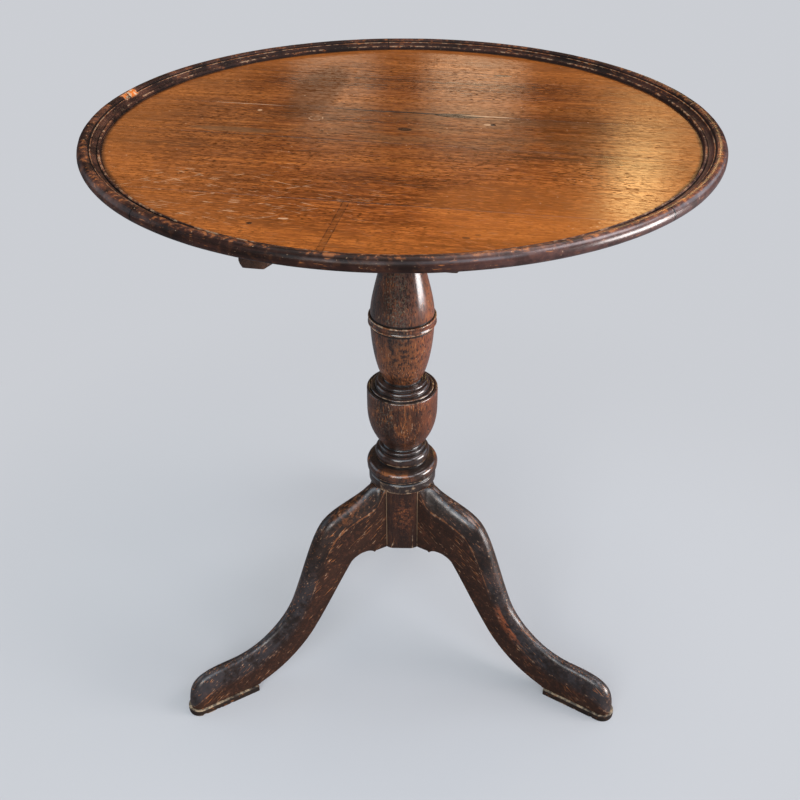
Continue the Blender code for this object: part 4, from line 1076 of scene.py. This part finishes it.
soleSet = {
    "heel": 0.216, "ledge": 0.0024, "thickness": 0.0095, "ease": 0.0011,
    # reach and radius of the chips knocked out of the lower edge, minus for the far side
    "chips": {"front_left": ((0.29, 0.0026), (0.2735, 0.0021), (0.269, 0.0017), (0.2545, 0.002)),
              "front_right": ((0.283, -0.0018), (0.261, -0.0015)), "back": ((0.27, 0.0018),)},
    "chipBall": ((1.3, 0.8, 1.0), 14, 8), "ledgeLevel": (0.0082, 0.009), "chipLevel": (0.0004, 0.0024),
    "tones": {"dark": (0.016, 0.01, 0.007), "light": (0.048, 0.023, 0.013), "ledge": (0.5, 0.37, 0.23)},
}


def solePolish():
    s = soleSet
    paint = DarkPaint("sole_polish", s["tones"], lambda made: made.place)
    ease, over = paint.ease, paint.over
    tone, _, patch, fine, _ = paint.layers
    level = paint.split(paint.place)[2]
    paint.colour = paint.ramp(tone * 0.5 + patch * 0.5, (0.4, "dark"), (0.62, "light"))
    ledge = ease(level + (patch - 0.5) * 0.0016, *s["ledgeLevel"])
    over(ledge * ease(patch, 0.34, 0.48) * 0.85, paint.mix(ease(fine, 0.42, 0.58), "grey", "ledge"))
    over((1.0 - ease(level, *s["chipLevel"])) * ease(patch, 0.53, 0.6) * 0.7, "pale")
    over(ease(fine, 0.62, 0.68) * 0.5, "orange")
    return paint.done(0.5 + fine * 0.1, patch + fine * 0.5, 0.0004, Specular_IOR_Level=0.4)


def makeSole(side, turn, material):
    s, leg = soleSet, legSet
    toeHalf = leg["toeHalf"] + s["ledge"]
    eye = leg["toeReach"] + s["ledge"] - toeHalf
    heelHalf = legHalfWidth(s["heel"]) + s["ledge"]
    outline = [(s["heel"], heelHalf), (s["heel"], -heelHalf)]
    outline += arcPoints((eye, 0.0), (toeHalf, toeHalf), -pi / 2, pi / 2, 28)
    piece = startVertex(f"foot_sole_{side}", (*outline[0], 0.0))
    drawOutline([(x, y, 0.0) for x, y in outline], True)
    bpy.ops.mesh.edge_face_add()
    extrude((0, 0, s["thickness"]))
    closePiece()
    applied(piece, "BEVEL", width=s["ease"], segments=3, limit_method="ANGLE", angle_limit=radians(40))
    for reach, radius in s["chips"][side]:
        half = legHalfWidth(reach) + s["ledge"] if reach < eye else toeHalf
        place = (reach, half if radius > 0 else -half, 0.0)
        cutAway(piece, ballTool(abs(radius), place, *s["chipBall"]))
    piece.data.transform(Matrix.Rotation(radians(turn), 4, "Z"))
    smoothed(piece, 40)
    dressed(piece, material, "base", "dark_oak", f"sole_{side}")


legFinish = legPolish()
soleFinish = solePolish()
for legSide, legTurn in legSet["turns"].items():
    makeLeg(legSide, legTurn, legFinish)
    makeSole(legSide, legTurn, soleFinish)
print("legs and soles made")


# the pieces that stay as the frame has them
def finishCarried():
    wood = rawOak("bearer_oak", pi / 2 + grainTurn)
    blockWood = rawOak("block_oak", grainTurn)
    brass = agedBrass("catch_brass")
    iron = blackIron("fixing_iron")
    for name, node in nodes.items():
        if name in ("bearer_left", "bearer_right"):
            material = wood
        elif name in ("block", "tenon_wedge"):
            material = blockWood
        elif name.startswith(("catch", "keeper")):
            material = brass
        else:
            material = iron
        node.data.materials.clear()
        node.data.materials.append(material)


finishCarried()
print("carried pieces finished")


stageSet = {
    "floorSize": 40.0, "floorShare": 0.74, "toneReach": (-0.6, 0.8), "shadeReach": (0.25, 0.9),
    "shadeBack": 0.12,
    "tones": {"plain": (0.6, 0.617, 0.655), "left": (0.566, 0.578, 0.59), "right": (0.482, 0.492, 0.502),
              "bounce": (0.16, 0.16, 0.17)},
    "world": (0.8, 0.86, 0.96), "worldStrength": 0.32, "worldGloss": 0.03,
    "lamps": (
        # name, place, aim, size, power, colour
        ("overhead", (0.0, 0.5, 2.9), (0.0, 0.0, 0.3), (2.2, 2.2), 24.0, (1.0, 0.985, 0.96)),
        ("right_box", (3.05, -0.6, 0.62), (0.0, 0.0, 0.5), (1.5, 1.15), 93.0, (1.0, 0.96, 0.95)),
        ("right_high", (1.68, -0.38, 2.25), (0.0, 0.0, 0.6), (1.45, 0.9), 24.0, (1.0, 0.93, 0.97)),
        ("front_low", (-0.8, -2.5, 1.5), (0.0, 0.0, 0.4), (1.4, 0.7), 22.0, (1.0, 0.94, 0.88)),
        ("front_high", (0.0, -1.85, 1.85), (0.0, 0.0, 0.2), (3.0, 1.1), 31.0, (0.72, 0.86, 1.0)),
        ("left_sky", (-2.3, 0.45, 1.2), (0.0, 0.0, 0.2), (1.8, 1.5), 10.0, (0.72, 0.86, 1.0)),
        ("right_sky", (2.2, 1.05, 1.5), (0.0, 0.0, 0.2), (1.2, 1.1), 8.0, (0.72, 0.86, 1.0)),
        ("back_window", (0.8, 2.42, 1.78), (0.2, -0.15, 0.7), (0.19, 0.25), 1.18, (1.0, 0.66, 0.27)),
        ("back_glow", (0.87, 2.42, 1.67), (0.2, -0.1, 0.7), (0.58, 0.6), 0.42, (1.0, 0.62, 0.25)),
        ("back_core", (0.87, 2.43, 1.69), (0.2, -0.1, 0.7), (0.32, 0.38), 0.22, (1.0, 0.62, 0.25)),
        ("back_left_pane", (-0.32, 3.08, 1.56), (-0.08, 0.16, 0.7), (0.36, 0.28), 0.42, (1.0, 0.78, 0.54)),
        ("back_right_pane", (0.24, 3.08, 1.56), (0.08, 0.16, 0.7), (0.42, 0.28), 0.84, (1.0, 0.72, 0.46)),
        ("left_wall", (-1.02, 3.08, 1.85), (-0.2, 0.0, 0.7), (0.7, 0.9), 0.9, (1.0, 0.5, 0.22)),
        ("back_right_wall", (0.98, 3.08, 1.7), (0.25, 0.05, 0.7), (0.7, 0.62), 0.36, (1.0, 0.56, 0.26)),
    ),
}
cameraSet = {
    "place": (0.0156, -0.9596, 1.0263), "turn": (radians(55.78), 0.0, radians(0.93)),
    "lens": 44.6, "sensor": 36.0, "shiftX": -0.0029,
}


def makeFloor():
    s = stageSet
    deselectAll()
    bpy.ops.mesh.primitive_plane_add(size=s["floorSize"], location=(0, 0, 0))
    floor = bpy.context.object
    floor.name = "studio_floor"
    paint = Paint("studio_floor", s["tones"])
    tree, inputs = paint.tree, paint.shader.inputs
    sight = paint.node("ShaderNodeLightPath", out="Is Camera Ray")
    x, y = paint.split(paint.place)[:2]
    tone = paint.mix(paint.ease(x, *s["toneReach"]), "left", "right")
    paint.feed(inputs["Base Color"], paint.mix(sight, "bounce", tone))
    inputs["Roughness"].default_value = 0.9
    inputs["Specular IOR Level"].default_value = 0.0
    glow = paint.node("ShaderNodeEmission", {}, {"Color": "plain", "Strength": 1.0})
    away = (x * x + (y - s["shadeBack"]) * (y - s["shadeBack"])) ** 0.5
    share = s["floorShare"] * (1.0 - paint.ease(away, *s["shadeReach"]))
    blend = paint.node("ShaderNodeMixShader", {}, {0: sight * (1.0 - share)})
    tree.links.new(paint.shader.outputs[0], blend.socket.node.inputs[1])
    tree.links.new(glow.socket, blend.socket.node.inputs[2])
    tree.links.new(blend.socket, tree.nodes["Material Output"].inputs["Surface"])
    floor.data.materials.append(paint.material)


def makeLight():
    s = stageSet
    world = bpy.data.worlds.new("studio")
    bpy.context.scene.world = world
    world.use_nodes = True
    tree = world.node_tree
    tree.nodes.clear()
    sky, dim, seen = (tree.nodes.new("ShaderNodeBackground") for _ in range(3))
    for shade, colour, strength in ((sky, s["world"], s["worldStrength"]), (dim, s["world"], s["worldGloss"]),
                                    (seen, s["tones"]["plain"], 1.0)):
        shade.inputs["Color"].default_value = (*colour, 1.0)
        shade.inputs["Strength"].default_value = strength
    sight = tree.nodes.new("ShaderNodeLightPath")
    output = tree.nodes.new("ShaderNodeOutputWorld")
    before = sky
    for ray, shade in (("Is Glossy Ray", dim), ("Is Camera Ray", seen)):
        blend = tree.nodes.new("ShaderNodeMixShader")
        tree.links.new(sight.outputs[ray], blend.inputs[0])
        tree.links.new(before.outputs[0], blend.inputs[1])
        tree.links.new(shade.outputs[0], blend.inputs[2])
        before = blend
    tree.links.new(before.outputs[0], output.inputs["Surface"])
    for name, place, aim, size, power, colour in s["lamps"]:
        bpy.ops.object.light_add(type="AREA", location=place)
        lamp = bpy.context.object
        lamp.name = name
        lamp.data.shape = "ELLIPSE" if name.startswith("back") else "RECTANGLE"
        lamp.data.size, lamp.data.size_y = size
        lamp.data.energy = power
        lamp.data.color = colour
        lamp.rotation_euler = (Vector(aim) - Vector(place)).to_track_quat("-Z", "Y").to_euler()


def makeCamera():
    s = cameraSet
    bpy.ops.object.camera_add(location=s["place"], rotation=s["turn"])
    camera = bpy.context.object
    camera.data.lens = s["lens"]
    camera.data.sensor_width = s["sensor"]
    camera.data.shift_x = s["shiftX"]
    bpy.context.scene.camera = camera


makeFloor()
makeLight()
makeCamera()
bpy.context.scene.view_settings.view_transform = "Standard"
print("stage made")
